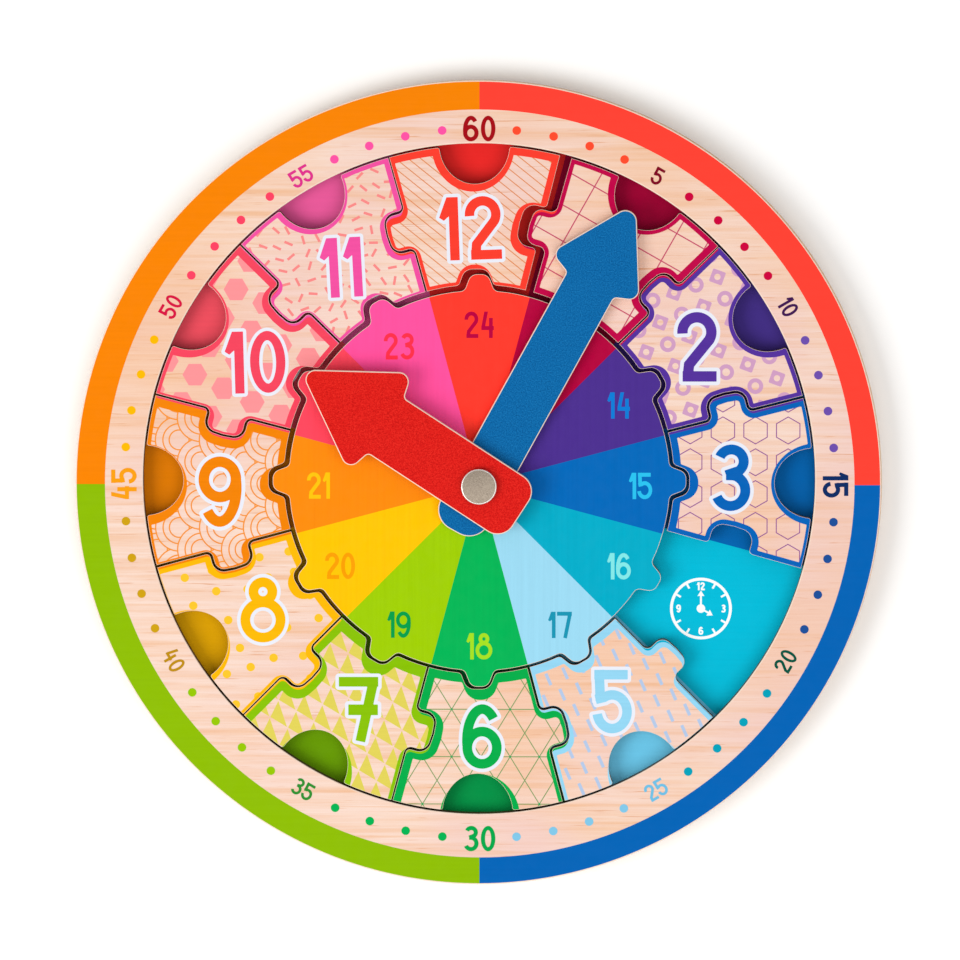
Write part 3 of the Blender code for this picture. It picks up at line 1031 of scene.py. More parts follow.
@dataclass
class Board:
    """A flat piece cut from sheet, printed on its face and eased at its edges.

    Sizes are in millimetres of the board's plane, and heights too.
    """

    name: str
    outline: list[Loop]
    floor: float
    top: float
    ground: Finish
    edge: float = 0.0
    foot_edge: float = 0.0
    marks: list[Mark] = field(default_factory=list)
    edge_finish: Finish = SANDED_EDGE
    wall_finish: Finish = SAWN_PLY
    bore_finish: Optional[Finish] = None
    back_finish: Finish = BACK_WOOD
    sink_width: float = 0.0
    sink_depth: float = 0.0
    EDGE_STEPS = 4
    SHARP_ANGLE = 40.0

    def sunk(self, wall: Finish) -> list[tuple[float, float, Finish]]:
        """The side of a bore that widens at its foot, to let a screw's head and washer in.

        Args:
            wall: the finish of its walls.

        Returns:
            Rows of how far out, how high, and the finish above.
        """
        shelf = self.floor + self.sink_depth
        return [
            (self.edge, shelf, wall),
            (-self.sink_width, shelf, wall),
            (-self.sink_width, self.floor, wall),
        ]

    def profile(self, wall: Finish) -> list[tuple[float, float, Finish]]:
        """The side of the board from top to foot.

        Args:
            wall: the finish of its wall.

        Returns:
            Rows of how far out, how high, and the finish above.
        """
        rows = []
        for i in range(1, self.EDGE_STEPS + 1) if self.edge > 0.0 else ():
            angle = math.pi / 2.0 * i / self.EDGE_STEPS
            drop = self.edge * (1.0 - math.cos(angle))
            rows.append((self.edge * math.sin(angle), self.top - drop, self.edge_finish))
        if self.foot_edge > 0.0:
            rows.append((self.edge, self.floor + self.foot_edge, wall))
            for i in range(1, self.EDGE_STEPS + 1):
                angle = math.pi / 2.0 * i / self.EDGE_STEPS
                out = self.edge - self.foot_edge * (1.0 - math.cos(angle))
                rise = self.foot_edge * (1.0 - math.sin(angle))
                rows.append((out, self.floor + rise, self.edge_finish))
        else:
            rows.append((self.edge, self.floor, wall))
        return rows

    def build(self) -> bpy.types.Object:
        """Makes the board's mesh.

        Returns:
            The object, at the origin with its place in its mesh.
        """
        face = [drawn_in(loop, self.edge) if self.edge > 0.0 else loop for loop in self.outline]
        near = [mark for mark in self.marks if self.touches(mark, face)]
        loops = face + [loop for mark in near for loop in mark.loops]
        points, triangles = triangulated(loops, face)
        finishes: list[Finish] = []

        def slot(finish: Finish) -> int:
            """The number of a finish's material slot, added if it is new.

            Args:
                finish: the finish.

            Returns:
                The slot's number.
            """
            if finish not in finishes:
                finishes.append(finish)
            return finishes.index(finish)

        centroids = points[triangles].mean(axis=1)
        painted = np.full(len(triangles), slot(self.ground))
        for mark in near:
            painted[contains(centroids, mark.loops)] = slot(mark.finish)
        used = np.unique(triangles)
        renumber = np.zeros(len(points), int)
        renumber[used] = np.arange(len(used))
        triangles = renumber[triangles]
        points = points[used]
        verts = [(x, y, self.top) for x, y in points]
        faces = [tuple(t) for t in triangles]
        slots = list(painted)
        smooth = [False] * len(faces)
        rims = boundary_loops(triangles)
        feet = []
        for rim in rims:
            flat = points[rim]
            away = outward(flat)
            after = np.roll(flat, -1, axis=0)
            bored = (flat[:, 0] * after[:, 1] - after[:, 0] * flat[:, 1]).sum() < 0.0
            wall = self.bore_finish if bored and self.bore_finish else self.wall_finish
            above = list(rim)
            side = self.sunk(wall) if bored and self.sink_width > 0.0 else self.profile(wall)
            for out, height, finish in side:
                first = len(verts)
                verts += [(x, y, height) for x, y in flat + away * out]
                row = list(range(first, first + len(rim)))
                for i in range(len(rim)):
                    n = (i + 1) % len(rim)
                    faces.append((above[n], above[i], row[i], row[n]))
                    slots.append(slot(finish))
                    smooth.append(True)
                above = row
            feet.append(above)
        self.close_back(verts, faces, slots, smooth, feet, slot(self.back_finish))
        return self.as_object(verts, faces, slots, smooth, finishes)

    @staticmethod
    def touches(mark: Mark, face: Sequence[Loop]) -> bool:
        """Whether a mark's box meets the face's box.

        Args:
            mark: the printed shape.
            face: the face's loops.

        Returns:
            True where they meet.
        """
        every, own = np.concatenate(face), np.concatenate(mark.loops)
        apart = (own.min(axis=0) > every.max(axis=0)) | (own.max(axis=0) < every.min(axis=0))
        return not apart.any()

    def close_back(
        self, verts: list, faces: list, slots: list, smooth: list, feet: list, back: int
    ) -> None:
        """Closes the underside between the feet of the walls.

        Args:
            verts: the mesh's points.
            faces: its faces, which grow here.
            slots: the material slot of each face.
            smooth: whether each face is shaded smooth.
            feet: the lowest row of each wall.
            back: the underside's material slot.
        """
        order = [index for foot in feet for index in foot]
        loops = [np.array([verts[index][:2] for index in foot]) for foot in feet]
        coords = [Vector(point) for loop in loops for point in loop]
        edges, first = [], 0
        for loop in loops:
            edges += [(first + i, first + (i + 1) % len(loop)) for i in range(len(loop))]
            first += len(loop)
        found = delaunay_2d_cdt(coords, edges, [], 0, BACK_WELD)
        source = [order[ids[0]] if ids else -1 for ids in found[3]]
        corners = np.array([tuple(v) for v in found[0]])
        triangles = np.array([face for face in found[2] if len(face) == 3])
        inside = contains(corners[triangles].mean(axis=1), loops)
        for triangle in triangles[inside]:
            if min(source[k] for k in triangle) < 0:
                continue
            a, b, c = (corners[k] for k in triangle)
            if (b[0] - a[0]) * (c[1] - a[1]) - (b[1] - a[1]) * (c[0] - a[0]) > 0.0:
                triangle = triangle[::-1]
            faces.append(tuple(source[k] for k in triangle))
            slots.append(back)
            smooth.append(False)

    def as_object(
        self, verts: list, faces: list, slots: list, smooth: list, finishes: list[Finish]
    ) -> bpy.types.Object:
        """The mesh as a linked object with its materials.

        Args:
            verts: points in millimetres.
            faces: faces by point.
            slots: the material slot of each face.
            smooth: whether each face is shaded smooth.
            finishes: the finish of each slot.

        Returns:
            The object.
        """
        mesh = bpy.data.meshes.new(self.name)
        mesh.from_pydata([(x * MM, y * MM, z * MM) for x, y, z in verts], [], faces)
        for finish in finishes:
            mesh.materials.append(PAINTBOX(finish))
        mesh.polygons.foreach_set("material_index", np.array(slots, np.int32))
        mesh.polygons.foreach_set("use_smooth", np.array(smooth, bool))
        mesh.update()
        if self.edge > 0.0 or self.sink_width > 0.0:
            mesh.set_sharp_from_angle(angle=math.radians(self.SHARP_ANGLE))
            mesh.polygons.foreach_set("use_smooth", np.array(smooth, bool))
        obj = bpy.data.objects.new(self.name, mesh)
        bpy.context.scene.collection.objects.link(obj)
        return obj


def dressed(obj: bpy.types.Object, body: str, slot: str, *nodes: str) -> None:
    """Hangs a piece on its body in place of the solids that it replaces.

    Args:
        obj: the piece.
        body: the body that it moves with.
        slot: the record's material slot; not used.
        nodes: the solids that it replaces.
    """
    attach(obj, body)
    if nodes:
        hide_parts(*nodes)
    LOG.info("%s: %d faces on %s", obj.name, len(obj.data.polygons), body)


def printed_ink(name: str, marks: list[Mark], floor: float, height: float) -> bpy.types.Object:
    """Raised ink as thin solids, one for each mark, no two beside each other quite as thick.

    Args:
        name: the object's name.
        marks: the printed shapes.
        floor: the height of the printed face.
        height: the ink's thickness.

    Returns:
        The joined object.
    """
    parts = []
    for i, mark in enumerate(marks):
        part = Board(
            f"{name}_{i}", mark.loops, floor, floor + height + i % 5 * INK_STEP, mark.finish,
            wall_finish=mark.finish, back_finish=mark.finish,
        )
        parts.append(part.build())
    return joined(name, parts)


def joined(name: str, parts: list[bpy.types.Object]) -> bpy.types.Object:
    """Several objects as one, with each material once.

    Args:
        name: the new object's name.
        parts: the objects, which are removed.

    Returns:
        The joined object.
    """
    bm = bmesh.new()
    materials: list[bpy.types.Material] = []
    for part in parts:
        first = len(bm.faces)
        bm.from_mesh(part.data)
        bm.faces.ensure_lookup_table()
        for material in part.data.materials:
            if material not in materials:
                materials.append(material)
        slots = [materials.index(material) for material in part.data.materials]
        for face in bm.faces[first:]:
            face.material_index = slots[face.material_index]
        bpy.data.objects.remove(part)
    mesh = bpy.data.meshes.new(name)
    bm.to_mesh(mesh)
    bm.free()
    for material in materials:
        mesh.materials.append(material)
    obj = bpy.data.objects.new(name, mesh)
    bpy.context.scene.collection.objects.link(obj)
    return obj


# The layout shared by the boards


@dataclass(frozen=True)
class Layout:
    """Where the saw, the drill and the print stand on the clock's face, in millimetres."""

    board_radius: float = 140.3
    slip: float = 0.2
    tray_radius: float = 117.0
    tray_centre: Point = (0.1, 1.5)
    disc_radius: float = 66.4
    disc_centre: Point = (0.3, 1.0)
    pivot: Point = (0.3, -0.4)
    barrel_hole: float = 2.8
    glue_line: float = 0.06
    print_centre: Point = (0.3, -0.3)
    tile_print_centre: Point = (0.3, 0.2)
    pixels_to_mm: float = 2.875
    origin_pixel: Point = (478.6, 483.8)

    def at_pixel(self, pixel: Point) -> Point:
        """The place on the face that the photograph shows at a pixel.

        Args:
            pixel: its column and row.

        Returns:
            The place.
        """
        return (
            (pixel[0] - self.origin_pixel[0]) / self.pixels_to_mm,
            (self.origin_pixel[1] - pixel[1]) / self.pixels_to_mm,
        )


LAYOUT = Layout()


class Hue(Enum):
    """The twelve colours round the clock, by hour: border ink, disc ink, base ink, disc number."""

    RED = (12, "F43C2C", "FF3A2C", "F02A28", "B4003E")
    CRIMSON = (1, "BC0046", "B0003C", "A40036", "FF5A60")
    PURPLE = (2, "523098", "4A2E8C", "443088", "0A78D0")
    BLUE = (3, "0060B4", "0066B6", "0064B0", "28BCE8")
    TEAL = (4, "00A8C8", "00A8C4", "00B8D6", "7FE0E0")
    SKY = (5, "90D0EC", "98D4EC", "6CC8EC", "1890AE")
    GREEN = (6, "00A848", "00B054", "009448", "A0D820")
    LIME = (7, "84BC00", "9AC800", "689C00", "009848")
    YELLOW = (8, "F4B400", "FCC000", "DCA200", "F09A00")
    ORANGE = (9, "EC8000", "F4880A", "E07C00", "FFBE0A")
    CORAL = (10, "EE445C", "F8465C", "F05060", "D01848")
    PINK = (11, "EC4E9E", "FC509C", "EC5C9E", "FF3048")

    def __init__(self, hour: int, border: str, disc: str, base: str, number: str) -> None:
        """Keeps the colours under their names.

        Args:
            hour: the hour that has them.
            border: the ink of its tile's border and numeral.
            disc: the ink of its sector on the disc.
            base: the ink under its tile.
            number: the ink of its number past twelve.
        """
        self.hour = hour
        self.border = border
        self.disc = disc
        self.base = base
        self.number = number

    @classmethod
    def of(cls, hour: int) -> "Hue":
        """The colour of an hour, counted past twelve if need be."""
        return next(hue for hue in cls if (hue.hour - hour) % HOURS == 0)

    def border_ink(self) -> Ink:
        """The ink of this hour's tile border and numeral."""
        return Ink(f"border_{self.name.lower()}", self.border)


def sector(hour: float, span: float, inner: float, outer: float, centre: Point) -> Loop:
    """A ring sector about an hour's ray, clockwise.

    Args:
        hour: the hour that it is centred on.
        span: its angle in degrees.
        inner: its inner radius, or nought for a whole slice.
        outer: its outer radius.
        centre: the ring's middle.

    Returns:
        The sector's outline.
    """
    half = span / 2.0
    steps = max(2, math.ceil(span / 1.5))
    angles = [hour * HOUR_TURN - half + span * i / steps for i in range(steps + 1)]
    far = [on_clock(angle, outer) for angle in angles]
    near = [on_clock(angle, inner) for angle in reversed(angles)] if inner > 0.0 else [(0.0, 0.0)]
    return np.array(far + near) + centre


# Tiles


@dataclass(frozen=True)
class TileCut:
    """The saw line of an hour tile, in millimetres."""

    inner: float = 67.9
    outer: float = 116.3
    side_fit: float = 0.45
    socket_play: float = 1.0
    socket_depth_fit: float = 0.2
    bump_height: float = 5.6
    bump_top_half: float = 3.0
    bump_foot_half: float = 5.2
    bump_top_round: float = 3.2
    bump_foot_round: float = 2.2
    tab_share: float = 0.46
    tab_reach: float = 7.3
    tab_crown: float = 0.5
    tab_half: float = 6.8
    tab_round: float = 3.8
    tab_foot_round: float = 1.9
    notch_half: float = 11.8
    notch_depth: float = 13.4
    notch_lip: float = 1.3
    rim_step: float = 1.5
    notch_step: float = 5.0

    def rim(self, radius: float, start: float, end: float) -> list[Corner]:
        """Corners with no rounding along a circle.

        Args:
            radius: the circle's radius.
            start: the first clock angle.
            end: the last one.

        Returns:
            The corners, both ends included.
        """
        count = max(1, math.ceil(abs(end - start) / self.rim_step))
        angles = [start + (end - start) * i / count for i in range(count + 1)]
        return [(*on_clock(angle, radius), 0.0) for angle in angles]

    def along_ray(self, degrees: float, pairs: Sequence[Corner]) -> list[Corner]:
        """Corners given as (sideways, outward, rounding) beside the ray at a clock angle."""
        out_x, out_y = on_clock(degrees, 1.0)
        return [(out_x * r + out_y * t, out_y * r - out_x * t, bend) for t, r, bend in pairs]

    def bump(
        self, degrees: float, foot: float, side: float = 0.0, rise: float = 0.0
    ) -> list[Corner]:
        """The locating bump that stands on a circle.

        Args:
            degrees: its clock angle.
            foot: the circle's radius.
            side: how much wider it is on each side.
            rise: how much higher it is.

        Returns:
            Its four corners.
        """
        foot_half = self.bump_foot_half + side
        top_half = self.bump_top_half + side
        root = math.sqrt(foot**2 - foot_half**2)
        top = foot + self.bump_height + rise
        pairs = [
            (-foot_half, root, self.bump_foot_round),
            (-top_half, top, self.bump_top_round),
            (top_half, top, self.bump_top_round),
            (foot_half, root, self.bump_foot_round),
        ]
        return self.along_ray(degrees, pairs)

    def tab(self, degrees: float) -> list[Corner]:
        """The cut beside a tab.

        Args:
            degrees: the clock angle of the line that it stands on.

        Returns:
            Its corners, from the outer end of its foot to the inner end.
        """
        middle = self.inner + self.tab_share * (self.outer - self.inner)
        pairs = [
            (0.0, middle + self.tab_half, self.tab_foot_round),
            (-self.tab_reach, middle + self.tab_half, self.tab_round),
            (-self.tab_reach - self.tab_crown, middle, 0.0),
            (-self.tab_reach, middle - self.tab_half, self.tab_round),
            (0.0, middle - self.tab_half, self.tab_foot_round),
        ]
        return self.along_ray(degrees, pairs)

    def notch(self, outer: float) -> list[Corner]:
        """The half-round finger notch at the outer edge, with eased lips.

        Args:
            outer: the edge's radius.

        Returns:
            Its corners, clockwise.
        """
        lip = math.degrees(math.asin(self.notch_half / outer))
        start = math.degrees(math.asin(2.0 * self.notch_lip / self.notch_depth))
        count = math.ceil((180.0 - 2.0 * start) / self.notch_step)
        corners = [(*on_clock(-lip, outer), self.notch_lip)]
        for i in range(count + 1):
            angle = math.radians(start + (180.0 - 2.0 * start) * i / count)
            across = -self.notch_half * math.cos(angle)
            corners.append((across, outer - self.notch_depth * math.sin(angle), 0.0))
        corners.append((*on_clock(lip, outer), self.notch_lip))
        return corners

    def outline(self, fit: float, inner: float, outer: float, play: float) -> Loop:
        """A tile's outline about the tray's middle, as if its hour were 12.

        Args:
            fit: how far the cut stands inside the shared line between two tiles.
            inner: the radius of its inner edge on that line.
            outer: the radius of its outer edge on that line.
            play: how much wider its socket is than the disc's bump, on each side.

        Returns:
            The clockwise outline.
        """
        half_turn = HOUR_TURN / 2.0
        mouth = math.degrees(math.asin(self.notch_half / outer))
        lip_turn = math.degrees(2.0 * self.notch_lip / outer)
        side = play - fit
        foot_reach = self.bump_foot_half + side + 2.0 * self.bump_foot_round
        foot_turn = math.degrees(foot_reach / inner)
        corners = self.rim(outer, -half_turn, -mouth - lip_turn)
        corners += self.notch(outer)
        corners += self.rim(outer, mouth + lip_turn, half_turn)
        corners += self.tab(half_turn)
        corners += self.rim(inner, half_turn, foot_turn)
        corners += reversed(self.bump(0.0, inner, side, self.socket_depth_fit - fit))
        corners += self.rim(inner, -foot_turn, -half_turn)
        corners += reversed(self.tab(-half_turn))
        return drawn_in(rounded(corners), fit)

    def sawn(self) -> Loop:
        """The tile as it is sawn."""
        inner, outer = self.inner - self.side_fit, self.outer + self.side_fit
        return self.outline(self.side_fit, inner, outer, self.socket_play)

    def disc(self, radius: float) -> Loop:
        """The middle disc with a bump at each hour.

        Args:
            radius: its radius between bumps.

        Returns:
            Its clockwise outline.
        """
        foot_turn = math.degrees((self.bump_foot_half + 2.0 * self.bump_foot_round) / radius)
        corners = []
        for i in range(HOURS):
            corners += self.bump(HOUR_TURN * i, radius)
            corners += self.rim(radius, HOUR_TURN * i + foot_turn, HOUR_TURN * (i + 1) - foot_turn)
        return rounded(corners)


CUT = TileCut()
WINDOW_RADIUS = 90.0


@dataclass(frozen=True)
class Motif:
    """A printed pattern that fills a tile's window.

    Lattice steps and sizes are in millimetres.
    """

    anchor: Point
    step: Point
    row: Point
    reach: int = 9

    def places(self) -> Iterator[tuple[int, int, Point]]:
        """The lattice places near the anchor.

        Yields:
            The two counts of a place, and the place.
        """
        for i in range(-self.reach, self.reach + 1):
            for j in range(-self.reach, self.reach + 1):
                x = self.anchor[0] + i * self.step[0] + j * self.row[0]
                y = self.anchor[1] + i * self.step[1] + j * self.row[1]
                yield i, j, (x, y)


def polygon(centre: Point, radius: float, sides: int, lean: float = 0.0) -> Loop:
    """A regular polygon, its first corner at this clock angle."""
    return turned(circle(radius, sides=sides), lean, centre)


def bar(centre: Point, length: float, width: float, lean: float) -> Loop:
    """A straight bar, its length at this clock angle.

    Args:
        centre: its middle.
        length: its length.
        width: its width.
        lean: the clock angle of its length.

    Returns:
        Its four corners.
    """
    half = (width / 2.0, length / 2.0)
    corners = [(-half[0], -half[1]), (-half[0], half[1]), (half[0], half[1]), (half[0], -half[1])]
    return turned(corners, lean, centre)


class Pattern(Enum):
    """The twelve tile patterns, by hour."""

    GRID = 1
    BEADS = 2
    HEXAGON_LINES = 3
    NONE = 4
    DASHES = 5
    TRELLIS = 6
    TRIANGLES = 7
    DOTS = 8
    SCALES = 9
    HEXAGONS = 10
    SPRINKLES = 11
    STRIPES = 12

    @property
    def middle(self) -> Point:
        """The middle of this hour's window."""
        return on_clock(self.value * HOUR_TURN, WINDOW_RADIUS)

    def marks(self) -> list[Mark]:
        """The pattern's marks round its window's middle, lowest first."""
        return getattr(self, f"_{self.name.lower()}")()

    def _stripes(self) -> list[Mark]:
        """Thin slanting stripes.

        Returns:
            The stripes.
        """
        ink = Ink("stripe_brown", "DC8A58", show=0.1)
        lattice = Motif(self.middle, (1.72, 2.13), (0.0, 0.0), 16)
        return [Mark([bar(at, 90.0, 0.36, 128.8)], ink) for _, j, at in lattice.places() if j == 0]

    def _grid(self) -> list[Mark]:
        """A wide thin grid on the slant.

        Returns:
            Its lines.
        """
        ink = Ink("grid_crimson", "C04A68", show=0.1)
        anchor = LAYOUT.at_pixel((594.4, 186.4))
        marks = []
        for lean, way in ((29.6, 119.6), (119.6, 209.6)):
            lattice = Motif(anchor, on_clock(way, 10.95), (0.0, 0.0), 5)
            lines = [bar(at, 150.0, 0.42, lean) for _, j, at in lattice.places() if j == 0]
            marks += [Mark([line], ink) for line in lines]
        return marks

    def _beads(self) -> list[Mark]:
        """Rings and rounded squares with a hole, turn about.

        Returns:
            The rings and squares.
        """
        ink = Ink("bead_mauve", "CB9ABE", show=0.08)
        marks = []
        lattice = Motif(LAYOUT.at_pixel((717.2, 276.4)), (7.5, 2.75), (2.65, -7.6))
        for i, j, at in lattice.places():
            if (i + j) % 2:
                marks.append(Mark([circle(2.75, at, 28), circle(1.35, at, 20)], ink))
                continue
            corners = [(-2.35, -2.35), (-2.35, 2.35), (2.35, 2.35), (2.35, -2.35)]
            block = rounded([(x, y, 0.5) for x, y in corners], 22.0)
            marks.append(Mark([turned(block, 20.0, at), circle(1.1, at, 18)], ink))
        return marks

    def _hexagon_lines(self) -> list[Mark]:
        """Separate hexagons drawn in outline.

        Returns:
            The hexagons.
        """
        ink = Ink("hexagon_violet", "8F5292", show=0.08)
        lattice = Motif(LAYOUT.at_pixel((755.6, 430.0)), (11.35, 0.0), (0.0, 11.1), 5)
        return [
            Mark([polygon(at, 4.9, 6), polygon(at, 4.5, 6)], ink) for _, _, at in lattice.places()
        ]

    def _none(self) -> list[Mark]:
        """No pattern."""
        return []

    def _dashes(self) -> list[Mark]:
        """Short slanting dashes in staggered columns.

        Returns:
            The dashes.
        """
        ink = Ink("dash_lavender", "AEC2E0", show=0.06)
        lattice = Motif(LAYOUT.at_pixel((548.6, 680.3)), (5.81, 2.16), (4.83, -5.32))
        return [Mark([bar(at, 4.4, 1.15, -24.0)], ink) for _, _, at in lattice.places()]

    def _trellis(self) -> list[Mark]:
        """Thin lines three ways with small knots where they meet.

        Returns:
            The lines, then the knots.
        """
        line = Ink("trellis_olive", "7E9A62", show=0.08)
        knot = Ink("trellis_knot", "3FA05C", show=0.08)
        anchor = LAYOUT.at_pixel((451.6, 758.3))
        across, down = 10.2, 16.6
        lean = math.degrees(math.atan2(across / 2.0, down / 2.0))
        marks = []
        for _, j, at in Motif(anchor, (across, 0.0), (0.0, down), 8).places():
            if j == 0:
                marks += [Mark([bar(at, 180.0, 0.34, way)], line) for way in (lean, -lean)]
        for k in range(-4, 5):
            marks.append(Mark([bar((anchor[0], anchor[1] + k * down), 120.0, 0.34, 90.0)], line))
        for _, _, at in Motif(anchor, (across, 0.0), (0.0, down), 5).places():
            marks.append(Mark([circle(0.42, at, 12)], knot))
        return marks

    def _triangles(self) -> list[Mark]:
        """Filled triangles, each touching the next at a corner.

        Returns:
            The triangles.
        """
        ink = Ink("triangle_straw", "DACC56", show=0.1)
        down, side = (-2.99, -5.98), (6.19, -3.72)
        marks = []
        lattice = Motif(LAYOUT.at_pixel((304.1, 695.1)), down, side, 10)
        for _, _, at in lattice.places():
            low = (at[0] + down[0], at[1] + down[1])
            corner = (low[0] + side[0], low[1] + side[1])
            middle_of = np.mean([at, low, corner], axis=0)
            points = middle_of + (np.array([at, corner, low]) - middle_of) * 0.94
            marks.append(Mark([points], ink))
        return marks

    def _dots(self) -> list[Mark]:
        """Scattered dots.

        Returns:
            The dots.
        """
        ink = Ink("dot_amber", "FBC02A", show=0.08)
        draw = random.Random(8)
        marks = []
        for _, _, at in Motif(self.middle, (9.0, 2.6), (-3.4, 8.6), 6).places():
            spot = (at[0] + draw.uniform(-1.4, 1.4), at[1] + draw.uniform(-1.4, 1.4))
            marks.append(Mark([circle(1.5, spot, 24)], ink))
        return marks

    def _scales(self) -> list[Mark]:
        """Overlapping scales, each of three rings, drawn from the left to the right.

        Returns:
            Each scale's ground and rings, lowest first.
        """
        ink = Ink("scale_orange", "EE9038", show=0.1)
        marks = []
        lattice = Motif(LAYOUT.at_pixel((178.7, 440.2)), (7.65, 7.65), (0.0, 15.3), 10)
        far = 36.0
        for _, _, at in sorted(lattice.places(), key=lambda place: place[2]):
            if abs(at[0] - self.middle[0]) > far or abs(at[1] - self.middle[1]) > far:
                continue
            marks.append(Mark([circle(8.5, at, 44)], MAPLE))
            for radius in (8.5, 5.9, 3.7):
                marks.append(Mark([circle(radius, at, 44), circle(radius - 0.48, at, 44)], ink))
        return marks

    def _hexagons(self) -> list[Mark]:
        """Filled hexagons.

        Returns:
            The hexagons.
        """
        ink = Ink("hexagon_rose", "F59094", show=0.08)
        lattice = Motif(LAYOUT.at_pixel((308.3, 358.8)), (9.97, -4.75), (-4.8, -9.9), 7)
        return [Mark([polygon(at, 4.35, 6, 30.0)], ink) for _, _, at in lattice.places()]

    def _sprinkles(self) -> list[Mark]:
        """Short strokes strewn every way.

        Returns:
            The strokes.
        """
        ink = Ink("sprinkle_salmon", "F18684", show=0.08)
        draw = random.Random(11)
        marks = []
        for _, _, at in Motif(self.middle, (4.7, 0.9), (-0.9, 4.7), 8).places():
            spot = (at[0] + draw.uniform(-0.8, 0.8), at[1] + draw.uniform(-0.8, 0.8))
            marks.append(Mark([bar(spot, 3.1, 0.9, draw.uniform(0.0, 180.0))], ink))
        return marks


@dataclass
class HourTile:
    """One lift-out hour piece with its border, pattern and numeral."""

    hour: int
    floor: float
    top: float
    creep: float
    numeral_at: Point
    numeral_height: float
    setter: NumeralSetter
    print_slip: Point = (0.0, 0.0)
    window_inset: float = 2.6
    window_inner: float = CUT.inner - 0.2
    window_outer: float = CUT.outer + 1.1
    window_play: float = -0.5
    edge: float = 0.1
    numeral_lean: float = 0.0
    border_reach: float = 60.0

    def window(self) -> list[Loop]:
        """The pattern's window, in the print's own place.

        Returns:
            Its loops.
        """
        nominal = CUT.outline(0.0, self.window_inner, self.window_outer, self.window_play)
        loops = offset_shape([nominal], -self.window_inset, 0.3)
        place = tuple(np.add(LAYOUT.tile_print_centre, self.print_slip))
        return [turned(loop, self.hour * HOUR_TURN, place) for loop in loops if len(loop) > 12]

    def neighbour(self, step: int) -> Mark:
        """The next hour's printed area, in its border ink.

        Args:
            step: one for the next hour, minus one for the hour before.

        Returns:
            The printed area.
        """
        nominal = CUT.outline(0.0, CUT.inner, CUT.outer, CUT.socket_play)
        turn = (self.hour + step) * HOUR_TURN
        ink = Hue.of(self.hour + step).border_ink()
        return Mark([turned(nominal, turn, LAYOUT.tile_print_centre)], ink)

    def before_creep(self, loop: Loop) -> Loop:
        """A shape's place before the tile crept round the tray."""
        return turned(np.subtract(loop, LAYOUT.tray_centre), -self.creep, LAYOUT.tray_centre)

    def marks(self) -> list[Mark]:
        """All that is printed on the tile before it crept.

        Returns:
            The marks, lowest first.
        """
        own = Hue.of(self.hour).border_ink()
        window = self.window()
        pattern = Pattern(self.hour)
        reach = circle(self.border_reach, pattern.middle, 16)
        ink, halo = self.setter.number(
            str(self.hour), self.numeral_height, self.numeral_at, self.numeral_lean
        )
        lowest = pattern.marks()
        highest = [Mark(loops, HALO_WHITE) for loops in halo] + [Mark(loops, own) for loops in ink]
        for mark in lowest + highest:
            mark.loops = [self.before_creep(loop) for loop in mark.loops]
        border = [Mark([reach, *window], own), self.neighbour(-1), self.neighbour(1)]
        return lowest + border + highest

    def build(self) -> bpy.types.Object:
        """Cuts, prints and places the tile.

        Returns:
            The tile.
        """
        turn = self.hour * HOUR_TURN
        outline = turned(CUT.sawn(), turn, LAYOUT.tray_centre)
        tile = Board(
            f"tile_{self.hour:02d}", [outline], self.floor, self.top, MAPLE, self.edge,
            marks=self.marks(), wall_finish=GAP_SHADE_PLY,
        ).build()
        spot = np.empty(len(tile.data.vertices) * 3)
        tile.data.vertices.foreach_get("co", spot)
        spot = spot.reshape(-1, 3)
        centre = np.array(LAYOUT.tray_centre) * MM
        spot[:, :2] = turned(spot[:, :2] - centre, self.creep, tuple(centre))
        tile.data.vertices.foreach_set("co", spot.ravel())
        tile.data.update()
        return tile

    def dress(self) -> None:
        """Builds the tile and hangs it on its body."""
        node = f"piece_{self.hour:02d}"
        dressed(self.build(), node, f"hour_{self.hour:02d}_print", node)


@dataclass
class TileSet:
    """The eleven tiles that lie in the tray."""

    floor: float
    top: float
    fit_turn: float = math.degrees(CUT.side_fit / CUT.outer)
    setter: NumeralSetter = field(
        default_factory=lambda: NumeralSetter(Numerals(stroke=0.150, halo=0.053, crossed=True))
    )
    print_slips = {
        1: (-0.75, 1.35), 2: (-0.35, 0.85), 3: (0.1, 0.9), 5: (0.3, -0.2), 6: (0.6, 0.0),
        7: (-0.25, -0.85), 8: (-0.6, 0.25), 9: (-0.45, -0.25), 10: (-0.55, 0.22),
        11: (-0.4, 0.35), 12: (-0.7, 0.1),
    }
    window_insets = {2: 2.4, 5: 1.6, 6: 2.3, 7: 2.3, 8: 2.1, 10: 2.4, 11: 1.9}
    usual_inset: float = 2.6
    creep_shares = {
        1: 3.83, 2: 2.71, 3: 2.71, 5: 1.13, 6: 0.99, 7: 0.14,
        8: -0.90, 9: -0.99, 10: -1.58, 11: -2.26, 12: -3.38,
    }
    numerals = {
        1: (48.0, 77.5, 21.0), 2: (75.9, 47.8, 24.2), 3: (87.5, 2.2, 23.2), 5: (46.9, -76.1, 22.2),
        6: (1.1, -88.4, 22.6), 7: (-41.9, -78.9, 22.6), 8: (-75.2, -44.2, 22.8),
        9: (-90.0, -2.9, 24.6), 10: (-77.6, 42.3, 21.6), 11: (-47.8, 75.3, 20.8),
        12: (-2.7, 89.0, 22.0),
    }
    leans = {11: -3.0, 12: -2.0, 10: -1.5}

    def dress(self) -> None:
        """Builds every tile."""
        for hour, share in self.creep_shares.items():
            x, y, height = self.numerals[hour]
            HourTile(
                hour, self.floor, self.top, share * self.fit_turn, (x, y), height, self.setter,
                self.print_slips[hour], self.window_insets.get(hour, self.usual_inset),
                numeral_lean=self.leans.get(hour, 0.0),
            ).dress()


# The fixed boards


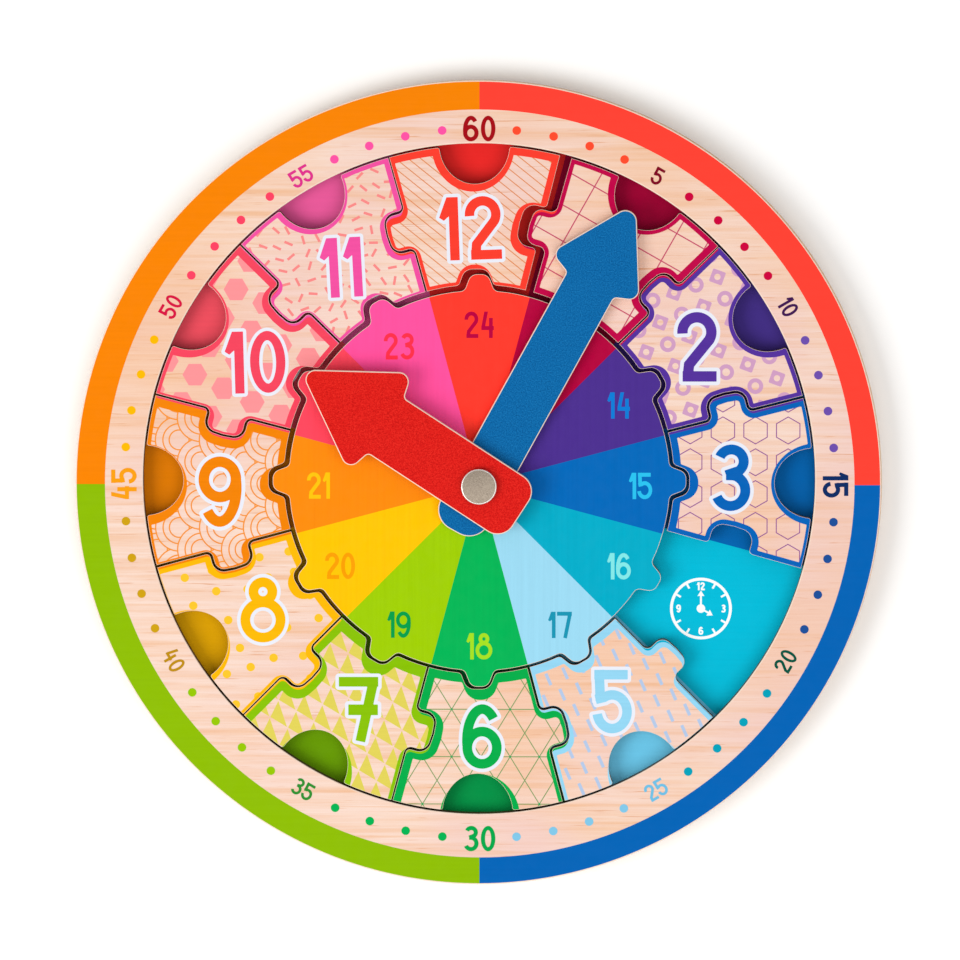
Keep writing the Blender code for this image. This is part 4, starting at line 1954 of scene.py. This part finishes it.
@dataclass
class TrayBase:
    """The lower board, printed in twelve colours with a small clock in each."""

    floor: float
    top: float
    foot_edge: float = 0.7
    clock_radius: float = 10.8
    clock_ring: float = 1.0
    clock_place: float = 86.6
    clock_shift: Point = (2.5, -0.7)
    print_overrun: float = 6.0
    tick_size: Point = (1.7, 0.7)
    tick_inset: float = 1.85
    number_height: float = 2.8
    number_inset: float = 3.0
    hands: Point = (6.3, 4.8)
    hand_half: float = 0.32
    hand_start: float = 1.4
    head_half: float = 1.2
    head_length: float = 1.9
    boss_radius: float = 1.5
    ink_height: float = 0.04
    washer_play: float = 0.6
    seat_gap: float = 0.3
    setter: NumeralSetter = field(
        default_factory=lambda: NumeralSetter(Numerals(stroke=0.21, grid=0.014))
    )

    def sectors(self) -> list[Mark]:
        """The twelve printed sectors.

        Returns:
            One mark for each hour.
        """
        reach = CUT.outer + self.print_overrun
        marks = []
        for hue in Hue:
            shape = sector(hue.hour, HOUR_TURN, 0.0, reach, LAYOUT.tray_centre)
            ink = Ink(f"base_{hue.name.lower()}", hue.base, show=0.08)
            marks.append(Mark([shape], ink))
        return marks

    def small_clock(self, hour: int) -> list[list[Loop]]:
        """The shapes of one printed clock that shows a full hour.

        Args:
            hour: the hour.

        Returns:
            The even-odd shapes.
        """
        middle = tuple(np.array(on_clock(hour * HOUR_TURN, self.clock_place)) + self.clock_shift)
        radius = self.clock_radius
        shapes = [[circle(radius, middle, 64), circle(radius - self.clock_ring, middle, 56)]]
        for tick in range(HOURS):
            if tick % 3:
                at = np.array(on_clock(tick * HOUR_TURN, radius - self.tick_inset)) + middle
                shapes.append([bar(tuple(at), *self.tick_size, tick * HOUR_TURN)])
        for number in (12, 3, 6, 9):
            at = np.array(on_clock(number * HOUR_TURN, radius - self.number_inset)) + middle
            ink, _ = self.setter.number(str(number), self.number_height, tuple(at))
            shapes += ink
        half, start = self.hand_half, self.hand_start
        for length, turn in zip(self.hands, (0.0, hour * HOUR_TURN)):
            neck = length - self.head_length
            shaft = [(-half, start), (-half, neck), (half, neck), (half, start)]
            head = [(-self.head_half, neck), (0.0, length), (self.head_half, neck)]
            shapes += [[turned(shaft, turn, middle)], [turned(head, turn, middle)]]
        shapes.append([circle(self.boss_radius, middle, 24)])
        return shapes

    def dress(self) -> None:
        """Builds the board, sunk behind for the screw and its washer, and its white print."""
        rim = circle(LAYOUT.board_radius, (LAYOUT.slip, 0.0), 240)
        bore = circle(LAYOUT.barrel_hole, LAYOUT.pivot, 48)[::-1]
        plain = Wood("base_birch", Grain.ACROSS, "F0DCC0", "E2C49C", "C09466", "EBD0B0")
        washer_low, washer_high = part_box("rear_washer")
        washer_radius = (washer_high[0] - washer_low[0]) / 2.0 / MM
        board = Board(
            "printed_base", [rim, bore], self.floor, self.top, plain, 0.0, self.foot_edge,
            marks=self.sectors(),
            sink_width=washer_radius + self.washer_play - LAYOUT.barrel_hole,
            sink_depth=washer_high[2] / MM + self.seat_gap - self.floor,
        )
        dressed(board.build(), "tray", "birch_ply", "base_board")
        shapes = [shape for hue in Hue for shape in self.small_clock(hue.hour)]
        prints = [Mark(shape, CLOCK_WHITE) for shape in shapes]
        clocks = printed_ink("small_clocks", prints, self.top, self.ink_height)
        dressed(clocks, "tray", "birch_ply")


@dataclass
class MinuteRing:
    """The upper ring with its coloured band, minute dots and minute numbers."""

    floor: float
    top: float
    band_inner: float = 130.5
    band_outer: float = 150.0
    number_radius: float = 123.9
    large_height: float = 8.9
    small_height: float = 6.1
    low_inset: float = 0.7
    dot_radius: float = 1.5
    edge: float = 0.4
    ink_height: float = 0.03
    bands = ("FF4032", "0060B0", "88B600", "F08000")
    dots = (
        "FF4A2C", "C8003C", "6A4CA8", "1C4C94", "009CB4", "7CC0E0",
        "00AC50", "90C000", "C89C10", "FFB400", "FF4060", "FF50A0",
    )
    numbers = (
        "A00A14", "7C0020", "3E1450", "0A2A60", "00513F", "6CB8DC",
        "00A048", "2E8A30", "B88810", "F09A10", "D01040", "D83088",
    )

    def numerals(self) -> list[Mark]:
        """The minute numbers, each with its top outwards or, low down, inwards.

        Returns:
            One mark for each digit.
        """
        bold = NumeralSetter(Numerals(stroke=0.165, grid=0.012))
        light = NumeralSetter(Numerals(stroke=0.155, grid=0.012))
        marks = []
        for step in range(HOURS):
            minute = step * 5 or 60
            angle = step * HOUR_TURN
            low = 90.0 < angle < 270.0
            large = minute % 15 == 0
            height = self.large_height if large else self.small_height
            radius = self.number_radius - (self.low_inset if low and not large else 0.0)
            at = np.array(on_clock(angle, radius)) + LAYOUT.print_centre
            ink, _ = (bold if large else light).number(
                str(minute), height, tuple(at), angle + (180.0 if low else 0.0)
            )
            finish = Ink(f"minute_{minute:02d}", self.numbers[step], show=0.06)
            marks += [Mark(loops, finish) for loops in ink]
        return marks

    def minute_dots(self) -> list[Mark]:
        """The four dots between each two numbers.

        Returns:
            One mark for each dot.
        """
        marks = []
        for minute in range(5 * HOURS):
            if minute % 5:
                at = np.array(on_clock(minute * 6.0, self.number_radius)) + LAYOUT.print_centre
                tint = self.dots[minute // 5]
                finish = Ink(f"dot_{minute // 5:02d}", tint, show=0.06)
                marks.append(Mark([circle(self.dot_radius, tuple(at), 28)], finish))
        return marks

    def dress(self) -> None:
        """Builds the ring and its raised print."""
        rim = circle(LAYOUT.board_radius, (-LAYOUT.slip, 0.0), 240)
        well = circle(LAYOUT.tray_radius, LAYOUT.tray_centre, 200)[::-1]
        marks = []
        for i, tint in enumerate(self.bands):
            reach = (self.band_inner, self.band_outer)
            shape = sector(1.5 + 3.0 * i, 90.0, *reach, LAYOUT.print_centre)
            marks.append(Mark([shape], Ink(f"band_{i}", tint, show=0.08)))
        board = Board(
            "printed_ring", [rim, well], self.floor, self.top, MAPLE, self.edge, marks=marks,
            bore_finish=GAP_SHADE_PLY,
        )
        dressed(board.build(), "tray", "maple", "minute_ring")
        prints = self.numerals() + self.minute_dots()
        dressed(printed_ink("minute_print", prints, self.top, self.ink_height), "tray", "maple")


@dataclass
class MiddleDisc:
    """The fixed middle disc with its twelve sectors and the numbers 13 to 24."""

    floor: float
    top: float
    edge: float = 0.15
    number_height: float = 9.2
    number_radius: float = 56.1
    number_shift: Point = (0.0, -0.4)
    number_narrow: float = 0.92
    print_reach: float = 80.0
    ink_height: float = 0.03

    def dress(self) -> None:
        """Builds the disc and its raised numbers."""
        outline = turned(CUT.disc(LAYOUT.disc_radius), 0.0, LAYOUT.disc_centre)
        bore = circle(LAYOUT.barrel_hole, LAYOUT.pivot, 48)[::-1]
        setter = NumeralSetter(Numerals(stroke=0.15, grid=0.012, spacing=0.07))
        middle = np.array(LAYOUT.print_centre) + self.number_shift
        marks, prints = [], []
        for hue in Hue:
            name = hue.name.lower()
            shape = sector(hue.hour, HOUR_TURN, 0.0, self.print_reach, LAYOUT.print_centre)
            marks.append(Mark([shape], Ink(f"disc_{name}", hue.disc, Grain.UPRIGHT, 0.12)))
            at = np.array(on_clock(hue.hour * HOUR_TURN, self.number_radius)) + middle
            number = str(hue.hour + HOURS)
            shapes, _ = setter.number(
                number, self.number_height, tuple(at), narrow=self.number_narrow
            )
            finish = Ink(f"disc_number_{number}", hue.number, Grain.UPRIGHT, 0.08)
            prints += [Mark(loops, finish) for loops in shapes]
        board = Board(
            "printed_disc", [outline, bore], self.floor, self.top, MAPLE_UPRIGHT, self.edge,
            marks=marks, wall_finish=GAP_SHADE_PLY,
        )
        dressed(board.build(), "tray", "disc_print", "hour_disc")
        dressed(
            printed_ink("disc_numbers", prints, self.top, self.ink_height), "tray", "disc_print"
        )


@dataclass
class ArrowHand:
    """A flat arrow-shaped hand, painted on its face, bare at its edges. Sizes in millimetres."""

    node: str
    slot: str
    paint: HandPaint
    turn: float
    length: float
    head: float
    barb_half: float
    barb_drop: float
    shaft_half: float
    tail: float
    tail_round: float
    tip_round: float
    barb_round: float = 3.4
    neck_round: float = 1.6
    edge: float = 0.33
    foot_edge: float = 0.4

    def outline(self) -> Loop:
        """The hand pointing to 12 o'clock with its pivot in the middle.

        Returns:
            Its clockwise outline.
        """
        side = math.atan2(self.barb_half, self.head)
        tip = self.length + self.tip_round * (1.0 / math.sin(side) - 1.0)
        neck = self.length - self.head
        half = [
            (self.barb_half, neck, self.barb_round),
            (self.shaft_half, neck - self.barb_drop, self.neck_round),
            (self.shaft_half, -self.tail, self.tail_round),
        ]
        mirrored = [(-x, y, radius) for x, y, radius in reversed(half)]
        return rounded([(0.0, tip, self.tip_round)] + half + mirrored, 6.0)

    def dress(self) -> None:
        """Builds the hand and hangs it on its body."""
        low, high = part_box(self.node)
        shape = turned(self.outline(), self.turn, LAYOUT.pivot)
        bore = circle(LAYOUT.barrel_hole, LAYOUT.pivot, 48)[::-1]
        board = Board(
            f"painted_{self.node}", [shape, bore], low[2] / MM, high[2] / MM, self.paint,
            self.edge, self.foot_edge, wall_finish=SANDED_EDGE,
        )
        dressed(board.build(), self.node, self.slot, self.node)


@dataclass
class Pivot:
    """The nickel cap and barrel, the washers and the screw from behind. Sizes in metres."""

    barrel_radius: float = 0.0025
    barrel_bore: float = 0.0017
    cap_radius: float = 0.0062
    cap_edge: float = 0.0004
    cap_thickness: float = 0.0010
    sharp_angle: float = 38.0
    sides: int = 96
    edge_steps: int = 5

    def lathe(
        self, name: str, profile: Sequence[Point], finish: Finish, rim: Finish, rim_from: int
    ) -> bpy.types.Object:
        """A turned piece on the pivot's axis, from a profile that its two ends cap.

        Args:
            name: the object's name.
            profile: (radius, height) points.
            finish: what it is made of.
            rim: the finish of its last bands.
            rim_from: the first profile point of those.

        Returns:
            The piece.
        """
        bm = bmesh.new()
        rings = [
            [bm.verts.new((x, y, z)) for x, y in circle(r, (0.0, 0.0), self.sides)]
            for r, z in profile
        ]
        for row, (one, two) in enumerate(zip(rings, rings[1:])):
            for i in range(self.sides):
                n = (i + 1) % self.sides
                face = bm.faces.new((one[i], one[n], two[n], two[i]))
                face.material_index = int(row >= rim_from)
        bm.faces.new(rings[0])
        bm.faces.new(rings[-1])
        bmesh.ops.translate(
            bm, verts=bm.verts, vec=(LAYOUT.pivot[0] * MM, LAYOUT.pivot[1] * MM, 0.0)
        )
        bmesh.ops.recalc_face_normals(bm, faces=bm.faces)
        mesh = bpy.data.meshes.new(name)
        bm.to_mesh(mesh)
        bm.free()
        mesh.materials.append(PAINTBOX(finish))
        mesh.materials.append(PAINTBOX(rim))
        mesh.shade_smooth()
        mesh.set_sharp_from_angle(angle=math.radians(self.sharp_angle))
        obj = bpy.data.objects.new(name, mesh)
        bpy.context.scene.collection.objects.link(obj)
        return obj

    def cap_profile(self, floor: float, depth: float, seat: float, top: float) -> list[Point]:
        """The barrel, bored from below for the screw, and its cap with an eased upper edge.

        Args:
            floor: the height of the barrel's foot.
            depth: the height that its bore reaches.
            seat: the height of the cap's underside.
            top: the height of the cap's face.

        Returns:
            (radius, height) points, from the bore's end out and up to the cap's face.
        """
        points = [
            (self.barrel_bore, depth),
            (self.barrel_bore, floor),
            (self.barrel_radius, floor),
            (self.barrel_radius, seat),
            (self.cap_radius, seat),
        ]
        for i in range(self.edge_steps + 1):
            angle = math.pi / 2.0 * i / self.edge_steps
            points.append(
                (
                    self.cap_radius - self.cap_edge * (1.0 - math.cos(angle)),
                    top - self.cap_edge * (1.0 - math.sin(angle)),
                )
            )
        return points

    def dress(self) -> None:
        """Builds the cap and gives the other pieces their metal and nylon."""
        low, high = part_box("capped_barrel")
        seat = high[2] - self.cap_thickness
        nickel, nylon = Nickel("satin_nickel"), Nylon("white_nylon")
        # The cap's eased rim gets a near-white nickel: a painted highlight all round its edge.
        highlight_rim = Nickel("painted_highlight_nickel", "F2F0EC", "E2DED8", 400.0)
        bore_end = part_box("spring_washer")[0][2]
        profile = self.cap_profile(low[2], bore_end, seat, high[2])
        cap = self.lathe("nickel_cap", profile, nickel, highlight_rim, 5)
        dressed(cap, "tray", "nickel", "capped_barrel")
        for node in ("rear_screw", "rear_washer", "spring_washer"):
            self.repaint(node, nickel)
        for node in ("lower_washer", "middle_washer"):
            self.repaint(node, nylon)

    @staticmethod
    def repaint(node: str, finish: Finish) -> None:
        """Gives a solid that stays its material.

        Args:
            node: the solid's name.
            finish: what it is made of.
        """
        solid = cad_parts[node]
        for slot in solid.material_slots:
            slot.link = "OBJECT"
            slot.material = PAINTBOX(finish)


# Studio


@dataclass
class Studio:
    """The white table, the soft light from the left, and the camera. Sizes in metres."""

    camera_at: tuple[float, float, float] = (0.06, 0.21, 3.0108)
    aim: tuple[float, float, float] = (0.0005, 0.0013, 0.0108)
    lens: float = 324.0
    key_at: tuple[float, float, float] = (-1.5, -0.55, 1.7)
    key_power: float = 27.0
    key_size: float = 1.3
    fill_at: tuple[float, float, float] = (0.7, -0.7, 2.6)
    fill_power: float = 30.0
    fill_size: float = 2.4
    sky: float = 0.51
    sensor: float = 36.0
    table_half: float = 6.0

    def camera(self) -> None:
        """The camera, aimed so that the clock lands where the photograph has it."""
        data = bpy.data.cameras.new("view")
        data.lens = self.lens
        data.sensor_width = self.sensor
        data.clip_end = 20.0
        obj = bpy.data.objects.new("view", data)
        obj.location = self.camera_at
        back = (Vector(self.camera_at) - Vector(self.aim)).normalized()
        right = Vector((0.0, 1.0, 0.0)).cross(back).normalized()
        above = back.cross(right)
        obj.rotation_euler = Matrix((right, above, back)).transposed().to_euler()
        bpy.context.scene.collection.objects.link(obj)
        bpy.context.scene.camera = obj

    def lamp(self, name: str, at: Sequence[float], power: float, size: float, tint: Colour) -> None:
        """A square soft light that faces the clock.

        Args:
            name: its name.
            at: its place.
            power: its power in watts.
            size: its width.
            tint: its colour.
        """
        data = bpy.data.lights.new(name, "AREA")
        data.energy = power
        data.size = size
        data.color = tint
        obj = bpy.data.objects.new(name, data)
        obj.location = at
        obj.rotation_euler = (-Vector(at)).to_track_quat("-Z", "Y").to_euler()
        bpy.context.scene.collection.objects.link(obj)

    def dress(self) -> None:
        """Builds the table, lights and camera."""
        mesh = bpy.data.meshes.new("table")
        half = self.table_half
        corners = [(-half, -half, 0.0), (half, -half, 0.0), (half, half, 0.0), (-half, half, 0.0)]
        mesh.from_pydata(corners, [], [(0, 1, 2, 3)])
        mesh.materials.append(PAINTBOX(Backdrop("table_white")))
        table = bpy.data.objects.new("table", mesh)
        bpy.context.scene.collection.objects.link(table)
        self.lamp("key_light", self.key_at, self.key_power, self.key_size, (1.0, 0.985, 0.96))
        self.lamp("fill_light", self.fill_at, self.fill_power, self.fill_size, (1.0, 1.0, 1.0))
        world = bpy.data.worlds.new("studio")
        world.use_nodes = True
        sky = world.node_tree.nodes["Background"]
        sky.inputs["Color"].default_value = (1.0, 1.0, 1.0, 1.0)
        sky.inputs["Strength"].default_value = self.sky
        bpy.context.scene.world = world
        bpy.context.scene.view_settings.view_transform = "Standard"
        self.camera()


def main() -> None:
    """Builds the clock's looks, sub-assembly by sub-assembly."""
    logging.basicConfig(level=logging.INFO, format="%(name)s %(message)s")
    base_low, base_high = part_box("base_board")
    _, layer_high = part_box("minute_ring")
    base_top = base_high[2] / MM
    layer_floor = base_top + LAYOUT.glue_line
    layer_top = layer_high[2] / MM
    TrayBase(base_low[2] / MM, base_top).dress()
    MinuteRing(layer_floor, layer_top).dress()
    MiddleDisc(layer_floor, layer_top).dress()
    TileSet(layer_floor, layer_top).dress()
    blue = HandPaint("hand_blue", "0062A2", "1C78B4", "00487C")
    red = HandPaint("hand_red", "D61612", "E83024", "AA0C08")
    ArrowHand(
        "minute_hand", "blue_paint", blue, turn=28.9, length=109.5, head=26.3, barb_half=17.6,
        barb_drop=3.4, shaft_half=9.4, tail=18.1, tail_round=7.5, tip_round=4.0,
    ).dress()
    ArrowHand(
        "hour_hand", "red_paint", red, turn=303.1, length=71.6, head=30.6, barb_half=20.5,
        barb_drop=2.5, shaft_half=11.5, tail=17.4, tail_round=6.4, tip_round=3.4,
    ).dress()
    Pivot().dress()
    Studio().dress()


if __name__ == "__main__":
    main()
